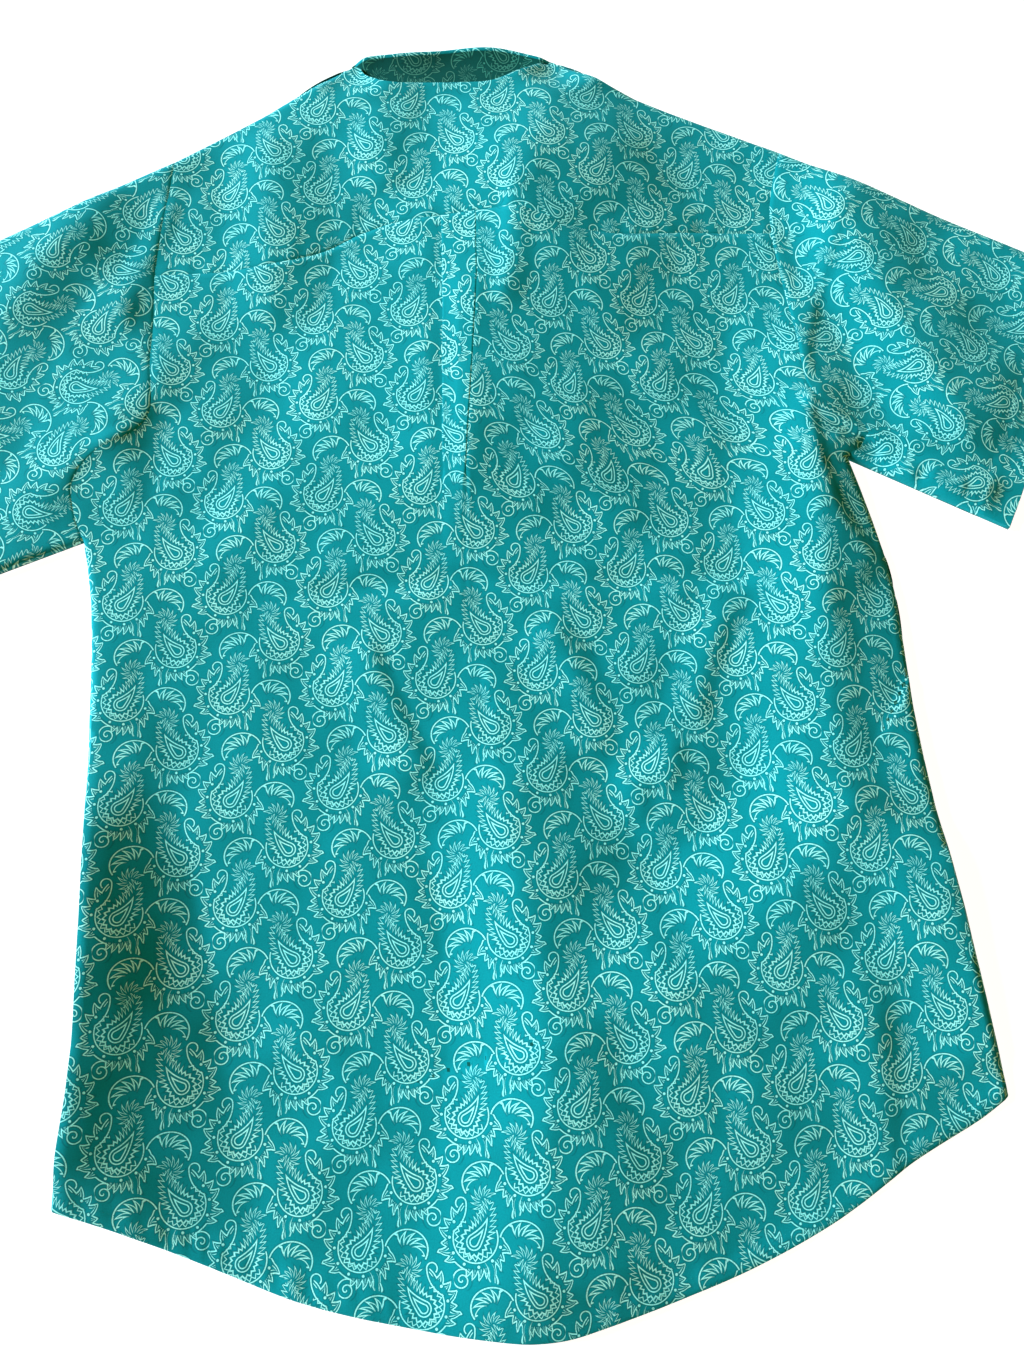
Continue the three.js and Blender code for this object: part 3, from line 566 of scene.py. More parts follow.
def motif_distance(n, p):
    """Distance in mm from p to the nearest line of one paisley, with its body's centre at the origin."""
    parts = [n.arc(p, *row) for row in ARCS]
    # Nested drops, each a circle with two straight flanks up to its point.
    r, angle = n.polar(p, (-1.0, -2.0), -142)
    bent = n.math("WRAP", n.line(r, DROP_BEND, angle), 180.0, -180.0)
    turn = n.times(bent, pi / 180)
    aside = n.math("ABSOLUTE", n.times(n.math("SINE", turn), r))
    ahead = n.times(n.math("COSINE", turn), r)
    upright = sqrt(1 - DROP_SLOPE * DROP_SLOPE)
    flank = n.line(ahead, DROP_SLOPE, n.times(aside, upright))
    past = n.line(ahead, upright, n.times(aside, -DROP_SLOPE))
    drop = n.add("ShaderNodeMix", n.math("GREATER_THAN", past, 0.0), data_type="FLOAT")
    n.put(drop.inputs[2], r)
    n.put(drop.inputs[3], flank)
    drop = drop.outputs[0]
    loops = n.least(*[n.gap(drop, size) for size in DROP_SIZES])
    parts.append(n.most(loops, n.minus(r, NECK_REACH)))
    # Leaves on the outermost drop, all round and up both sides of the neck.
    along = n.line(n.math("ABSOLUTE", bent), -0.11, r)
    teeth = n.zigzag(n.line(drop, -0.8, along), LEAF_SPACING)
    leaf = n.line(teeth, n.ramp(r, 8, 13, 1.6, 3.8), 6.3)
    leaf = n.line(n.gap(drop, leaf), 0.42, FINE)
    parts.append(n.most(leaf, n.minus(r, NECK_REACH + 0.5)))
    # Leaves that fan out from the neck's tip.
    r, angle = n.polar(p, (6.6, 19.4), -50)
    petals = n.line(n.zigzag(n.line(r, 5.0, angle), PETAL_SPACING), 5.0, 2.6)
    petals = n.line(n.gap(r, petals), 0.36, FINE)
    parts.append(n.most(petals, n.between(angle, -104, 120, 0.1)))
    # Zigzag, dots and veined leaves that follow the body's outline.
    r, angle = n.polar(p, (0, 0), BODY_MIDDLE - 180)
    zig = n.line(n.zigzag(angle, ZIGZAG_SPACING), 1.9, 9.9)
    zig = n.line(n.gap(r, zig), 0.6, FINE)
    parts.append(n.most(zig, n.between(angle, -120, 84, 0.2)))
    half = DOT_SPACING / 2
    spot = n.times(n.math("WRAP", angle, half, -half), pi / 180 * DOT_RING)
    dots = n.minus(n.vector("LENGTH", n.combine(spot, n.minus(r, DOT_RING))), DOT_SIZE)
    parts.append(n.most(dots, n.between(angle, -116, 116, 0.2)))
    beyond = n.minus(r, 16.5)
    swept = n.line(n.least(n.times(beyond, beyond), 27.0), 0.2, angle)
    leaves = n.outline(r, swept, LEAVES, BODY_MIDDLE)
    vein = n.math("ADD", n.math("ABSOLUTE", n.math("ADD", leaves, VEIN_INSET)), FINE)
    vein = n.most(vein, n.minus(16.6, r))
    leaves = n.least(n.math("ABSOLUTE", leaves), vein)
    leaves = n.most(leaves, n.minus(14.0, r))
    ends = (LEAVES[0][0] - BODY_MIDDLE, LEAVES[-1][0] - BODY_MIDDLE)
    parts.append(n.most(leaves, n.between(angle, *ends, 0.3)))
    # Spiral under the body.
    r, angle = n.polar(p, (-9.4, -21.0), 95)
    turns = n.math("WRAP", n.line(angle, SPIRAL_PITCH / 360, r), SPIRAL_PITCH - 0.65, -0.65)
    parts.append(n.most(n.gap(turns, 0.9), n.minus(r, 5.6)))
    # Plume, wider than it is high: its outer edge, and the leaves inside it.
    q = n.vector("MULTIPLY_ADD", p, (0.88, 1.0, 0.0), (3.7, 0.0, 0.0))
    parts.append(n.arc(q, PLUME_CENTRE, PLUME_RADIUS, 66, 95))
    r, angle = n.polar(q, PLUME_CENTRE, PLUME_MIDDLE - 180)
    swing = n.line(r, 6.0, n.math("ADD", angle, -34.0))
    plume = n.math("ABSOLUTE", n.outline(r, swing, PLUME, PLUME_MIDDLE))
    plume = n.most(plume, n.between(r, 3.4, 11.0))
    parts.append(n.most(plume, n.between(angle, -89, 88, 0.3)))
    return n.least(*parts)


def print_distance(n, p):
    """Distance in mm to the nearest printed line, over the whole cloth. p is the place on it, in mm."""
    x, y = n.split(p)
    half = REPEAT / 2
    x_a = n.math("WRAP", x, CELL_EAST, CELL_WEST)
    y_a = n.math("WRAP", y, half, -half)
    x_b = n.math("WRAP", n.minus(MIRROR_SHIFT, x), CELL_EAST, CELL_WEST)
    y_b = n.math("WRAP", n.minus(y, half), half, -half)
    top_a, top_b = (n.curve(n.line(across, 1 / REPEAT, -CELL_WEST / REPEAT), CELL_TOP, CELL_WEST, CELL_EAST)
                    for across in (x_a, x_b))
    over = n.math("GREATER_THAN", y_a, top_a)
    under = n.math("LESS_THAN", y_a, n.minus(top_b, half))
    place = n.blend(n.most(over, under), n.combine(x_a, y_a), n.combine(x_b, y_b))
    return motif_distance(n, place)


# ---------------- materials
THREADS = 2 * pi / 0.7   # phase for each mm of a plain weave whose threads are 0.35 mm apart


def new_material(name):
    """A material, the maker of its nodes, and its shader."""
    material = bpy.data.materials.new(name)
    material.use_nodes = True
    return material, Nodes(material.node_tree), material.node_tree.nodes["Principled BSDF"]


def shirting(name, ground, line, faded):
    """Matt printed cotton."""
    material, n, skin = new_material(name)
    cloth = n.add("ShaderNodeUVMap", uv_map="print").outputs[0]
    near = print_distance(n, cloth)
    ink = n.ramp(near, LINE - INK_EDGE, LINE + INK_EDGE, 1.0, 0.0)
    halo = n.ramp(near, LINE, LINE + 1.0, 0.66, 1.0)
    broad = n.noise(cloth, 0.02, 2.0)
    grain = n.noise(cloth, 1.1, 1.0)
    tone = n.line(grain, 0.26, n.line(broad, 0.12, 0.81))
    dyed = n.scaled(ground, n.times(tone, halo))
    # The printed lines are uneven in strength, and some are faded towards a warmer grey.
    ink = n.times(ink, n.ramp(n.noise(cloth, 0.9, 2.0), 0.30, 0.55, 0.72, 1.0))
    printed = n.scaled(n.blend(n.ramp(broad, 0.35, 0.65), line, faded), tone)
    warp, weft = n.split(n.vector("MULTIPLY", cloth, (THREADS, THREADS, 0.0)))
    weave = n.line(n.times(n.math("SINE", warp), n.math("SINE", weft)), 0.5, grain)
    bump = n.fill(n.add("ShaderNodeBump"), {"Strength": 0.35, "Distance": 0.00012, "Height": weave})
    n.fill(skin, {
        "Base Color": n.blend(ink, dyed, printed), "Roughness": n.line(ink, -0.08, 0.86),
        "Specular IOR Level": 0.25, "Sheen Weight": 0.08, "Sheen Roughness": 0.5, "Normal": bump.outputs[0],
    })
    return material


def mottled(name, texture, scale, dark, light):
    """A material between two tones, with the maker of its nodes, its shader and its texture's output."""
    material, n, skin = new_material(name)
    place = n.add("ShaderNodeTexCoord").outputs["Object"]
    mottle = n.fill(n.add(texture), {"Vector": place, "Scale": scale}).outputs[0]
    n.put(skin.inputs["Base Color"], n.blend(mottle, dark, light))
    return material, n, skin, mottle


CLOTHS = [  # right side, and wrong side, the latter darkened as painted shade
    shirting("shirting", (0.0, 0.30, 0.325), (0.52, 1.0, 0.95), (0.66, 1.0, 0.90)),
    # The wrong side is muted, and darkened further as painted shade: it is shown on the collar's inside, in
    # the neck's hollow.
    shirting("shirting_wrong_side_painted_shade", (0.002, 0.105, 0.085), (0.09, 0.34, 0.26), (0.13, 0.31, 0.23)),
]


# ---------------- back
BACK_PRINT = (7.2, 18.0)
PLEAT = [  # y, left fold, right fold, depth, stand
    (-60, -47, -34, 0, 0), (20, -47, -36, 0, 0.35), (70, -45, -31, 0, 0.75), (116, -43, -26, 0.45, 1),
    (168, -39, -19, 0.8, 1), (239, -34, -10, 1, 1), (300, -31, -6, 1, 1),
]
PLEAT_DEPTH = 9.0
PLEAT_RISE = 0.36   # of the pleat over the cloth beside it
PLEAT_SOFT_SPREAD = 4.0
PLEAT_MARGIN = 7.0
# Half of the pressed pleat: offset inwards from its fold and the cloth that has passed since then, each as a
# share of the depth and mm, and the lift.
PRESSED = [  # offset share, offset, lift, passed share, passed
    (0, -3.0, 0, 0, -3.0), (0, -0.8, -0.06, 0, -0.8), (0.6, 0, -0.08, 0.6, 0), (1, 0, -0.05, 1, 0),
    (0.5, 0, 0.0, 1.5, 0), (0, 0.6, 0.02, 2, 0), (0, 0.0, 0.17, 2, 0.3), (0, 0.5, 0.34, 2, 0.7),
    (0, 1.3, PLEAT_RISE, 2, 1.3), (0, 3.0, PLEAT_RISE, 2, 3.0),
]
# The cloth beside the east fold is pressed up to it, and the fold stands up a little along its edge.
EAST_CURL = [0.17, 0.30, 0.1, 0, 0, 0, 0, 0.08, 0, 0]
HEM_DEPTH = 9.0
HEM_ROWS = [0.0, 0.0016, 0.004, 0.0075, 0.0105, 0.0122, 0.0136, 0.0155, 0.02]
HEM_END = 0.024   # the rows above the hem start past this share of the height


def pleat_at(y):
    table = np.array(PLEAT, float)
    left, right, depth, stand = (np.interp(y, table[:, 0], table[:, k]) for k in range(1, 5))
    return left, right, PLEAT_DEPTH * depth, stand


def pleat_rungs(depth, stand):
    """Offset inwards, lift and cloth passed, for each point of half of the pleat."""
    table = np.array(PRESSED, float)
    pressed = np.stack([
        depth * table[:, 0] + table[:, 1], table[:, 2], depth * table[:, 3] + table[:, 4]], -1)
    spread = np.linspace(-1, 1, len(table)) * PLEAT_SOFT_SPREAD
    rise = PLEAT_RISE * smooth(-PLEAT_SOFT_SPREAD, PLEAT_SOFT_SPREAD, spread)
    soft = np.stack([spread, rise, spread], -1)
    return mix(soft, pressed, smooth(0, 3.6, depth)) * np.array([1, stand, 1])


def body_shares():
    """Shares of the body's height for a shell's rows, closer together in the hem."""
    stations = [row[0] for row in STATIONS[:YOKE_CORNER + 1]]
    shares = []
    for i, (a, b) in enumerate(zip(stations, stations[1:])):
        count = round(max(hypot(b[0] - a[0], b[1] - a[1]), 14) / STEP)
        shares += [(i + k / count) / (len(stations) - 1) for k in range(1, count + 1)]
    return np.array(HEM_ROWS + [s for s in shares if s > HEM_END])


def make_back():
    # Both edges have ten rows to each station, so a share of the rows is a share of the stations.
    west_edge = partial(point_at, np.vstack([left_side, left_arm[1:]]))
    east_edge = partial(point_at, np.vstack([right_side, right_arm[1:]]))
    bottom, top = from_west_to_east(tail), from_west_to_east(yoke_seam)
    field = np.concatenate([[0, 0.001, 0.0025, 0.006], np.linspace(0.013, 1, 75)])
    flat = np.zeros(len(field))
    middle = np.linspace(0.45, 0.55, 3)
    rows, maps = [], []
    for v in body_shares():
        wx, _ = west_edge(v)
        ex, _ = east_edge(v)

        def plan_y(x):
            return between(west_edge, east_edge, bottom, top, (x - wx) / (ex - wx), v)[1]

        pl, pr, depth, stand = pleat_at(plan_y(CENTRE_X - 20))
        offset, lift, passed = pleat_rungs(depth, stand).T
        across = mix(pl, pr, middle)
        west = mix(wx, pl - PLEAT_MARGIN, field)
        east = mix(ex, pr + PLEAT_MARGIN, field[::-1])
        x = np.concatenate([west, pl + offset, across, pr - offset[::-1], east])
        y = plan_y(x)
        curled = lift + np.array(EAST_CURL) * stand
        lift = np.concatenate([flat, lift, np.full(3, PLEAT_RISE * stand), curled[::-1], flat])
        hidden = 2 * depth
        u = np.concatenate([
            west, pl + passed, across + hidden, pr - passed[::-1] + 2 * hidden, east + 2 * hidden])
        rows.append(np.stack([x, y, lift], -1))
        maps.append(np.stack([u, y], -1))
    grid = np.array(rows)
    uv = np.array(maps)
    lift = grid[..., 2].copy()
    x, y = grid[..., 0], grid[..., 1]
    hem = nearest(TAIL, x, y)[0]
    # The hem is gathered a little by its stitching, most at one place on the left.
    gather = 0.4 + 0.35 * np.sin(x / 31.0 + 1.2) * np.sin(x / 13.7) + 0.9 * bell(x + 190, 45.0)
    pucker = np.sin(x / 1.9 + 2.1 * np.sin(x / 17.0) + (y - hem) / 9.0) * bell(hem - HEM_DEPTH, 6.5)
    doubled = 0.12 * smooth(HEM_DEPTH + 1.0, HEM_DEPTH - 0.6, hem) - 0.05 * bell(hem - HEM_DEPTH + 1.6, 0.9)
    droop = -1.3 * smooth(60, 0, hem) - 0.5 * smooth(6, 0, hem)
    tuck = -0.1 * bell(height_at(yoke_seam, x) - y, 1.6)
    relief = doubled + pucker * 0.34 * gather + droop + tuck + armhole_relief(x, y, 0.5)
    grid[..., 2] = cloth_top(x, y) + lift + relief
    grid[0, :, 2] -= 0.4
    # The seam allowance goes on under the yoke.
    for source, reach, down in ((-1, 0.5, 0.35), (-2, 2.0, 0.8)):
        allowance = grid[source] + np.array([0, reach, -down])
        grid = np.concatenate([grid, allowance[None]])
        uv = np.concatenate([uv, uv[-1:] + np.array([0.0, 0.6])])
    grid[..., 2] = np.maximum(grid[..., 2], SHELL + 0.1)
    # The print isn't stretched where the cloth turns down at its sides.
    turned = np.diff(grid[..., [0, 2]], axis=1)
    spare = np.linalg.norm(turned, axis=-1) - np.abs(turned[..., 0])
    spare *= distance_to(FOLDED_EDGES, grid[:, 1:, 0], grid[:, 1:, 1]) < 12.0
    count = len(field)
    uv[:, :count, 0] -= np.cumsum(spare[:, count - 1::-1], axis=1)[:, ::-1]
    uv[:, -count:, 0] += np.cumsum(spare[:, -count:], axis=1)
    return shell("back", grid, under(grid, THIN), uv - np.array(BACK_PRINT), CLOTHS)


def armhole_relief(x, y, rise):
    """The armhole's seam is a fine trough, and the allowance behind it lifts the cloth beside it."""
    total = np.zeros(np.shape(x))
    for arm, end in ((left_arm, left_end), (right_arm, right_end)):
        distance = nearest(np.vstack([arm[::5], end[5::5]]), x, y)[0]
        total += -0.10 * bell(distance, 1.2)
        total += 0.10 * bell(distance - 6.0, 3.2) * rise
    return total


# ---------------- yoke
YOKE_PRINT = (17.0, 54.0)
NECK_LIP = [  # back, down: the neck edge turns down and under, towards the collar inside
    (-0.7, 1.3), (-0.4, 2.6), (1.2, 3.6), (5.0, 4.4),
]


def make_yoke():
    left, right = partial(point_at, left_end), partial(point_at, right_end)
    bottom, top = from_west_to_east(yoke_seam), from_west_to_east(yoke_top)
    up = np.concatenate([[0, 0.006], np.linspace(0.02, 0.975, 43), [0.988, 0.995, 1]])
    u, v = np.meshgrid(np.linspace(0, 1, 150), up)
    x, y = between(left, right, bottom, top, u, v)
    # The neck edge hangs a little, most beside the left neck corner.
    hang = 2.8 * smooth(-88, -66, x) * smooth(62, 44, x) + 3.0 * bell(x + 68, 15.0)
    y = y - hang * smooth(0.7, 1, v)
    pl, pr, _, _ = pleat_at(290.0)
    over = smooth(pl - 12, pl, x) * smooth(pr + 12, pr, x) * PLEAT_RISE * smooth(345, 292, y)
    seam = y - height_at(yoke_seam, x)
    step = 0.14 * smooth(8.5, 6.0, seam) - 0.10 * bell(seam - 2.2, 0.8) - 0.4 * smooth(1.3, 0, seam)
    pucker = np.sin(x / 2.6 + 1.7 * np.sin(x / 19.0)) * bell(seam - 4, 5.0) * 0.16
    z = cloth_top(x, y) + over + step + pucker + armhole_relief(x, y, 0.5)
    corner = np.minimum(np.hypot(x + 91, y - 422), np.hypot(x - 65, y - 420))
    z = mix(np.minimum(z, 3.4), z, smooth(0, 36, corner))
    open_neck = smooth(-91, -82, x) * smooth(65, 57, x)
    roll = np.clip(nearest(NECK_EDGE, x, y)[0] / 6.0, 0, 1)
    z = z - open_neck * 3.0 * (1 - np.sqrt(1 - (1 - roll) ** 2))
    grid = np.stack([x, y, z], -1)
    uv = np.stack([x, y], -1) - np.array(YOKE_PRINT)
    edge, edge_uv = grid[-1], uv[-1]
    neck = smooth(-95, -80, edge[:, 0]) * smooth(69, 55, edge[:, 0])
    lip = [edge - np.stack([0 * neck, back * neck, (down * neck + 0.2 * down * (1 - neck)) * 0.9], -1)
           for back, down in NECK_LIP]
    lip_uv = [edge_uv + np.array([0.0, down + max(back, 0)]) for back, down in NECK_LIP]
    grid = np.concatenate([grid, np.array(lip)])
    grid[..., 2] = np.maximum(grid[..., 2], SHELL + 0.12)
    return shell("yoke", grid, under(grid), np.concatenate([uv, np.array(lip_uv)]), CLOTHS)


# ---------------- sleeves
SLEEVE_PRINTS = {"left": (-63.0, (46.5, 22.0)), "right": (63.0, (36.0, 39.0))}   # turn, place


def make_sleeve(side):
    """A flattened tube: its upper layer, and back along its lower one."""
    outwards = 1 if side == "left" else -1
    arm, end = (left_arm, left_end) if side == "left" else (right_arm, right_end)
    seam = np.vstack([arm, end[1:]])[::-1].copy()
    lengths = run_of(seam)
    (above_x, above_y), (below_x, below_y) = SLEEVE_HEMS[side]
    s = np.concatenate([[0, 0.003, 0.009], np.linspace(0.02, 0.98, 84), [0.991, 0.997, 1]])
    along = np.concatenate([np.linspace(0, 0.9, 58), [0.905, 0.93, 0.96, 0.985, 0.996, 1.0]])[:, None]
    share = lengths / lengths[-1]
    sx, sy = np.interp(s, share, seam[:, 0]) - outwards * 0.05, np.interp(s, share, seam[:, 1])
    hx, hy = mix(above_x, below_x, s), mix(above_y, below_y, s)
    x, y = mix(sx, hx, along), mix(sy, hy, along)
    hem = (1 - along) * np.hypot(hx - sx, hy - sy)
    doubled = 0.5 * smooth(25.5, 24.3, hem) - 0.3 * bell(hem - 23.0, 0.9)
    z = cloth_top(x, y) + armhole_relief(x, y, 1.0) + doubled
    z[-1] -= 0.5
    turn, place = SLEEVE_PRINTS[side]
    c, w = cos(radians(turn)), sin(radians(turn))
    uv = np.stack([x * c + y * w, -x * w + y * c], -1) - np.array(place)
    base = 0.25 + 0.45 * smooth(6, 0, np.minimum(s, 1 - s) * 210)[None, :] + 0 * x
    # A row of seam allowance goes on under the body's edge.
    tuck = np.array([outwards * 1.6, 0.0, -0.8])
    top, bottom = np.stack([x, y, z], -1), np.stack([x, y, base], -1)
    top = np.concatenate([top[:1] + tuck, top])
    top[..., 2] = np.maximum(top[..., 2], SHELL + 0.12)
    bottom = np.concatenate([bottom[:1] + tuck * np.array([1, 0, 0]), bottom])
    uv = np.concatenate([uv[:1], uv])
    grid = np.concatenate([top, bottom[:, ::-1]], axis=1)
    uv = np.concatenate([uv, uv[:, ::-1] * np.array([1.0, -1.0])], axis=1)
    wall = np.array([0, 0, SHELL])
    inner = np.concatenate([top - wall, (bottom + wall)[:, ::-1]], axis=1)
    if side == "left":
        grid, inner, uv = grid[:, ::-1], inner[:, ::-1], uv[:, ::-1]
    return shell(f"{side}_sleeve_cloth", grid, inner, uv, CLOTHS, closed=True)


# ---------------- fronts
PLACKET_LEFT = CENTRE_X - 17.0
PLACKET_RIGHT = CENTRE_X + 17.0
FRONT_HEM_LIFT = 12.0
FRONT_STITCHES = 8.0   # from the front's hem
PLACKET_STITCHES = 5.5   # from the placket's edges
FRONT_PRINTS = {"left": (11.0, 27.0), "right": (40.0, 27.0)}
NECKLINE_Y = 398.0


def front_top(x):
    rise = smooth(56, 77, np.abs(x - CENTRE_X))
    return mix(NECKLINE_Y, height_at(yoke_top, x), rise)


def front_hem(x):
    return height_at(tail, x) + FRONT_HEM_LIFT


def lying_shell(name, lower, thickness, uv, flip):
    """A shell that lies on the table, with the cloth's right side down. flip turns its columns round."""
    upper = lower + np.array([0, 0, thickness])
    if flip:
        lower, upper, uv = (g[:, ::-1] for g in (lower, upper, uv))
    return shell(name, lower, upper, uv, CLOTHS)


def make_front(side):
    lines = (left_side, left_arm, left_end) if side == "left" else (right_side, right_arm, right_end)
    outer_line = np.vstack([lines[0], lines[1][1:], lines[2][1:]])
    outer_line = outer_line[outer_line[:, 1] > outer_line[0, 1] + FRONT_HEM_LIFT * 0.8]
    inner_x = PLACKET_LEFT - SEAM_GAP if side == "left" else PLACKET_LEFT + 2
    v = np.concatenate([[0, 0.004, 0.011, 0.013], np.linspace(0.02, 1, 150)])
    w = np.linspace(0, 1, 62)[None, :]
    ox, oy = (line[:, None] for line in point_at(outer_line, v))
    # A row runs level from the outer edge, and bends to the hem at the bottom and the neckline at the top.
    x = mix(ox, inner_x, w)
    share = (oy - oy[0]) / (oy[-1] - oy[0])
    y = mix(front_hem(x[:1]), front_top(x[-1:]), share)
    edge = mix(front_hem(ox[:1]), front_top(ox[-1:]), share)
    y = y + (oy - edge) * (1 - w) ** 6
    centre = np.abs(x - CENTRE_X)
    over_wing = smooth(18, 30, centre) * smooth(84, 72, centre) * smooth(296, 322, y) * smooth(412, 402, y)
    base = LAYER * over_wing
    if side == "right":
        base = np.maximum(base, LAYER * smooth(PLACKET_RIGHT + 34, PLACKET_RIGHT + 20, x))
    base = base + 0.3 * smooth(5, 0, w * 200) + 0.35 * bell(y - front_hem(x) - FRONT_STITCHES, 1.2)
    uv = np.stack([-x, y], -1) + np.array(FRONT_PRINTS[side])
    lower = np.stack([x, y, base + 0.1], -1)
    return lying_shell(f"{side}_front_cloth", lower, SHELL, uv, side == "left")


def make_placket():
    """The placket covers the edge of the left front, with a line pressed along each row of stitches."""
    x = np.linspace(PLACKET_LEFT, PLACKET_RIGHT, 21)
    y = mix(front_hem(x) + 1, front_top(x), np.linspace(0, 1, 240)[:, None])
    x = np.broadcast_to(x, y.shape)
    inset = np.minimum(x - PLACKET_LEFT, PLACKET_RIGHT - x)
    base = 0.35 * smooth(1.2, 0, inset) + 0.22 * bell(inset - PLACKET_STITCHES, 0.7)
    uv = np.stack([-x, y], -1) + np.array([29.0, 5.0])
    return lying_shell("placket_cloth", np.stack([x, y, base + 0.02], -1), 1.0, uv, False)


# ---------------- collar
STAND_PROFILE = [  # share of the way from under the yoke to the rolled rim, height
    (0.0, 2.0), (0.35, 1.7), (0.6, 1.9), (0.8, 2.9), (0.93, 4.6), (0.95, 4.9), (0.98, 5.0), (1.0, 4.4),
    (1.004, 3.0), (1.0, 1.6), (0.98, 0.7),
]
STAND_FOOT = 1.8   # its height at the neck corners
RIM_ROW = 4   # from this row of the profile on the cloth's right side shows; the rows before it take the dark wrong-side cloth as painted shade in the neck's hollow
WING_ROWS = [  # inner edge from the centre, y, rise towards the outer edge; the last is under the rim
    (47, 352, 10), (45, 376, 0), (42, 401, 0), (8, None, 0),
]
WING_EDGE = 54   # outer edge from the centre


def make_stand():
    """Inside of the collar, open beyond the neck edge: up from under the yoke and over the rolled rim. Up to
    the rim its upper face takes the dark wrong-side cloth, painted shade in the neck's hollow.
    """
    across = np.linspace(0, 1, 84)
    x = mix(far_rim[0, 0] + 2.0, far_rim[-1, 0] - 2.0, across)
    rim = height_at(far_rim, x)
    near = np.minimum(NECKLINE_Y - 8, rim - 3)
    corner = smooth(0.0, 0.08, across) * smooth(1.0, 0.92, across)
    rows, maps = [], []
    for share, height in STAND_PROFILE:
        y = mix(near, rim, share)
        wave = 0.35 * np.sin(x / 9.0) * smooth(0.6, 0.9, share)
        z = STAND_FOOT + (height - STAND_FOOT + wave) * corner
        rows.append(np.stack([x, y, z], -1))
        maps.append(np.stack([x + 9, y + max(0, 5 - height) * (share > 0.97)], -1))
    grid = np.array(rows)
    # The upper faces take the dark wrong-side cloth first, as painted shade in the neck's hollow; the rim's
    # rows are given the right side below.
    piece = shell("collar_inside", grid, under(grid, 0.6), np.array(maps), CLOTHS[::-1])
    first, last = (row * (len(across) - 1) for row in (RIM_ROW, len(STAND_PROFILE) - 1))
    for polygon in piece.data.polygons[first:last]:
        polygon.material_index = 1
    return piece


def make_band(name, depth, height, half):
    """A flat strip that lies tucked under the yoke."""
    x = np.linspace(CENTRE_X - half, CENTRE_X + half, 40)
    y = np.linspace(NECKLINE_Y - depth, NECKLINE_Y, 12)
    gx, gy = np.meshgrid(x, y)
    grid = np.stack([gx, gy, np.full(gx.shape, height)], -1)
    return shell(name, grid, under(grid), np.stack([gx, gy], -1), CLOTHS)


def make_wing(side):
    """A point of the collar's leaf. side is -1 for the left one and 1 for the right one."""
    t = np.linspace(0, 1, 24)
    rows = []
    for inner, row_y, rise in WING_ROWS:
        x = CENTRE_X + side * mix(inner, WING_EDGE, t)
        y = height_at(far_rim, x) - 0.5 if row_y is None else row_y + rise * t
        rows.append(np.stack([x, y, np.full(len(t), 0.05)], -1))
    fine = [mix(a, b, k) for a, b in zip(rows, rows[1:]) for k in np.arange(0, 1, 0.125)]
    lower = np.array(fine + [rows[-1]])
    uv = lower[..., :2] * np.array([-1.0, 1.0]) + np.array([20.0, 3.0])
    return lying_shell(f"collar_point_{'left' if side < 0 else 'right'}", lower, 0.9, uv, side > 0)


back = make_back()
yoke = make_yoke()
left_sleeve, right_sleeve = make_sleeve("left"), make_sleeve("right")
left_front, right_front = make_front("left"), make_front("right")
placket = make_placket()
collar_inside = make_stand()
stand_tucked = make_band("collar_stand_tucked", 30.0, 3.6, 60)
leaf_tucked = make_band("collar_leaf_tucked", 46.0, 5.1, 62)
point_left, point_right = make_wing(-1), make_wing(1)

STANDS_FOR = [
    (back, "back_body"), (yoke, "back_yoke"), (left_sleeve, "left_sleeve"), (right_sleeve, "right_sleeve"),
    (left_front, "left_front"), (right_front, "right_front"), (placket, "front_placket"),
    (collar_inside, "collar_stand"), (stand_tucked, "collar_stand_back"), (leaf_tucked, "collar_leaf_back"),
    (point_left, "collar_leaf_left"), (point_right, "collar_leaf_right"),
]
for piece, node in STANDS_FOR:
    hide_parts(node)
    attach(piece, "root")


# ---------------- sewing
STITCH_LENGTH = 2.1
STITCH_PITCH = 2.9
STITCH_WIDTH = 0.42
STITCH_SLOPE = 1.0   # a stitch whose ends differ by more in height is left out
YOKE_STITCHES = 5.8   # above the yoke's seam
SLEEVE_STITCHES = 24.0   # from a sleeve's hem
THREAD_LAY = [  # share across, lift: the stitch's two sides, its crown and its underside
    (1, 0.05), (-1, 0.05), (0, -0.17), (0, 0.2),
]


def thread():
    """Matching thread, twisted."""
    material, _, skin, _ = mottled(
        "thread", "ShaderNodeTexWave", 900.0, (0.0, 0.26, 0.27), (0.02, 0.38, 0.38))
    skin.inputs["Roughness"].default_value = 0.6
    return material


def sewn_lines():
    """The lines of stitching in plan, each with the side of the shirt it shows on."""
    lines = [([(x, y + HEM_DEPTH) for x, y in tail[::2]], "top"),
             ([(x, y + YOKE_STITCHES) for x, y in yoke_seam[::2]], "top")]
    for sleeve_hem, turn in ((SLEEVE_HEMS["left"], 1), (SLEEVE_HEMS["right"], -1)):
        (ax, ay), (bx, by) = sleeve_hem
        inset = SLEEVE_STITCHES * turn / hypot(bx - ax, by - ay)
        inx, iny = abs(by - ay) * inset, (ax - bx) * inset
        line = [(ax + inx, ay + iny), (bx + inx, by + iny)]
        lines += [(line, "top"), (line, "bottom")]
    for x in (PLACKET_LEFT + PLACKET_STITCHES, PLACKET_RIGHT - PLACKET_STITCHES):
        lines.append(([(x, float(front_hem(x)) + FRONT_STITCHES), (x, NECKLINE_Y - 6.0)], "bottom"))
    for low, high in ((-285.0, PLACKET_LEFT - 4.0), (PLACKET_RIGHT + 4.0, 258.0)):
        xs = np.linspace(low, high, 40)
        lines.append((list(zip(xs, front_hem(xs) + FRONT_STITCHES)), "bottom"))
    return lines


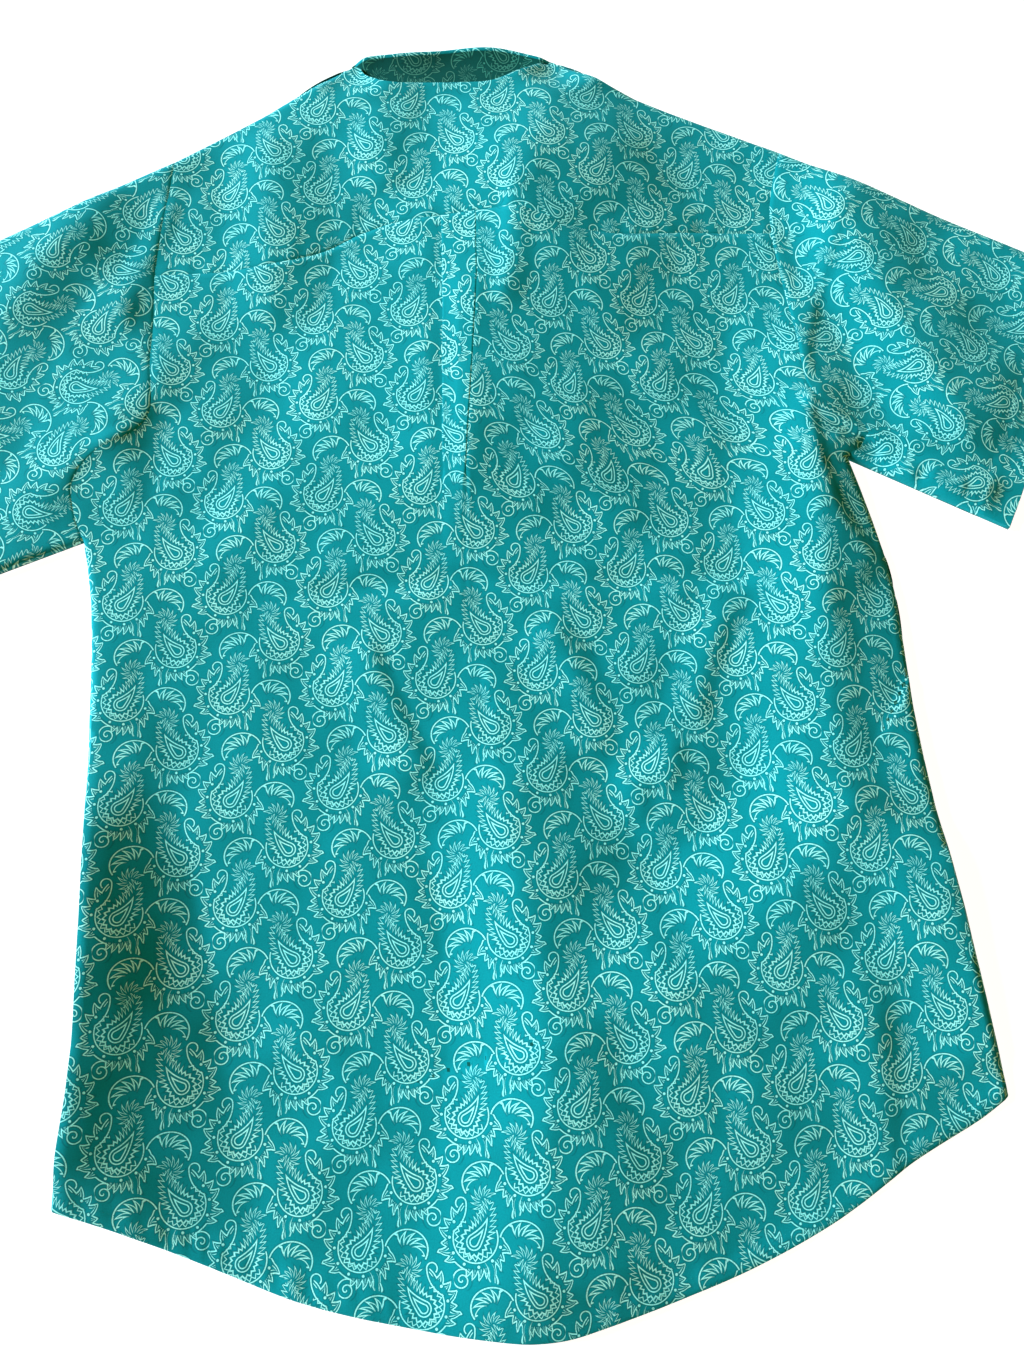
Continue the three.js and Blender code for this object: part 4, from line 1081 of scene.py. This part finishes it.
def make_stitches(material):
    trees = [BVHTree.FromObject(piece, bpy.context.evaluated_depsgraph_get()) for piece, _ in STANDS_FOR]
    points, faces = [], []
    half = STITCH_LENGTH / 2
    for line, side in sewn_lines():
        line = np.asarray(line, float)
        lengths = run_of(line)
        down, outermost = (-1.0, max) if side == "top" else (1.0, min)
        lift = np.array([0, 0, -down])
        for reach in np.arange(2.0, lengths[-1] - 2.0, STITCH_PITCH):
            ends = []
            for at in (reach - half, reach, reach + half):
                x, y = (np.interp(at, lengths, line[:, k]) for k in (0, 1))
                hits = [tree.ray_cast((x / 1000, y / 1000, -0.05 * down), (0, 0, down)) for tree in trees]
                heights = [hit[0].z * 1000 for hit in hits if hit[0] is not None]
                if not heights:
                    break
                ends.append((x, y, outermost(heights)))
            if len(ends) < 3 or max(e[2] for e in ends) - min(e[2] for e in ends) > STITCH_SLOPE:
                continue
            a, m, b = (np.array(e) for e in ends)
            run = b - a
            across = np.array([-run[1], run[0], 0]) / max(np.hypot(*run[:2]), 1e-6) * STITCH_WIDTH / 2
            first = len(points)
            points += [a - 0.1 * lift, b - 0.1 * lift]
            points += [m + share * across - sunk * lift for share, sunk in THREAD_LAY]
            for p, q in ((0, 2), (2, 1), (1, 3), (3, 0)):
                faces += [(first + p, first + q, first + 4), (first + q, first + p, first + 5)]
    points = np.array(points)
    return add_mesh("stitches", points, faces, np.zeros((len(points), 2)), [material])


stitches = make_stitches(thread())
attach(stitches, "root")


# ---------------- snaps
def pearl():
    material, n, skin, cloud = mottled(
        "pearl_snap", "ShaderNodeTexNoise", 420.0, (0.62, 0.74, 0.72), (0.90, 0.93, 0.88))
    n.put(skin.inputs["Roughness"], n.line(cloud, 0.2, 0.12))
    skin.inputs["Coat Weight"].default_value = 0.6
    return material


pearl_material = pearl()
for index in range(1, 8):
    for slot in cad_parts[f"snap_{index}"].material_slots:
        slot.link = "OBJECT"
        slot.material = pearl_material

# ---------------- surroundings
FLOOR_HALF = 3.0   # metres, as are the heights and places below
FLOOR_TOP = -0.0005
SUN_TOWARDS = (-0.90, 0.31, 0.30)
SUN_SPREAD = 20   # degrees
EYE = np.array([-50.6, -191.1, 637.0]) / 1000
RIGHT = np.array([0.9953, -0.0853, 0.0457])
UP = np.array([0.0736, 0.9736, 0.2159])
FORWARD = np.array([0.0629, 0.2115, -0.9754])


def make_floor():
    corners = [(x * FLOOR_HALF, y * FLOOR_HALF, FLOOR_TOP) for x, y in ((-1, -1), (1, -1), (1, 1), (-1, 1))]
    mesh = bpy.data.meshes.new("floor")
    mesh.from_pydata(corners, [], [(0, 1, 2, 3)])
    material, n, skin = new_material("floor")
    n.fill(skin, {"Base Color": (0.35, 0.35, 0.35, 1), "Roughness": 0.9,
                  "Emission Color": (1.0, 0.93, 0.92, 1), "Emission Strength": 0.86})
    mesh.materials.append(material)
    return add_object("floor", mesh)


make_floor()

sun = bpy.data.lights.new("key", "SUN")
sun.energy = 8.0
sun.color = (0.46, 0.92, 1.11)
sun.angle = radians(SUN_SPREAD)
x, y, z = SUN_TOWARDS
add_object("key", sun).rotation_euler = (0, atan2(hypot(x, y), z), atan2(y, x))

world = bpy.data.worlds.new("studio")
world.use_nodes = True
world.node_tree.nodes["Background"].inputs["Color"].default_value = (1.3, 1.08, 0.2, 1)
world.node_tree.nodes["Background"].inputs["Strength"].default_value = 0.15
bpy.context.scene.world = world
bpy.context.scene.view_settings.view_transform = "Standard"
bpy.context.scene.view_settings.look = "Medium High Contrast"

camera_data = bpy.data.cameras.new("camera")
camera_data.sensor_fit = "HORIZONTAL"
camera_data.sensor_width = 36.0
camera_data.lens = 35.16
camera = add_object("camera", camera_data)
facing = mathutils.Matrix((RIGHT, UP, -FORWARD)).transposed().to_quaternion()
camera.rotation_euler = facing.to_euler()
camera.location = EYE
bpy.context.scene.camera = camera
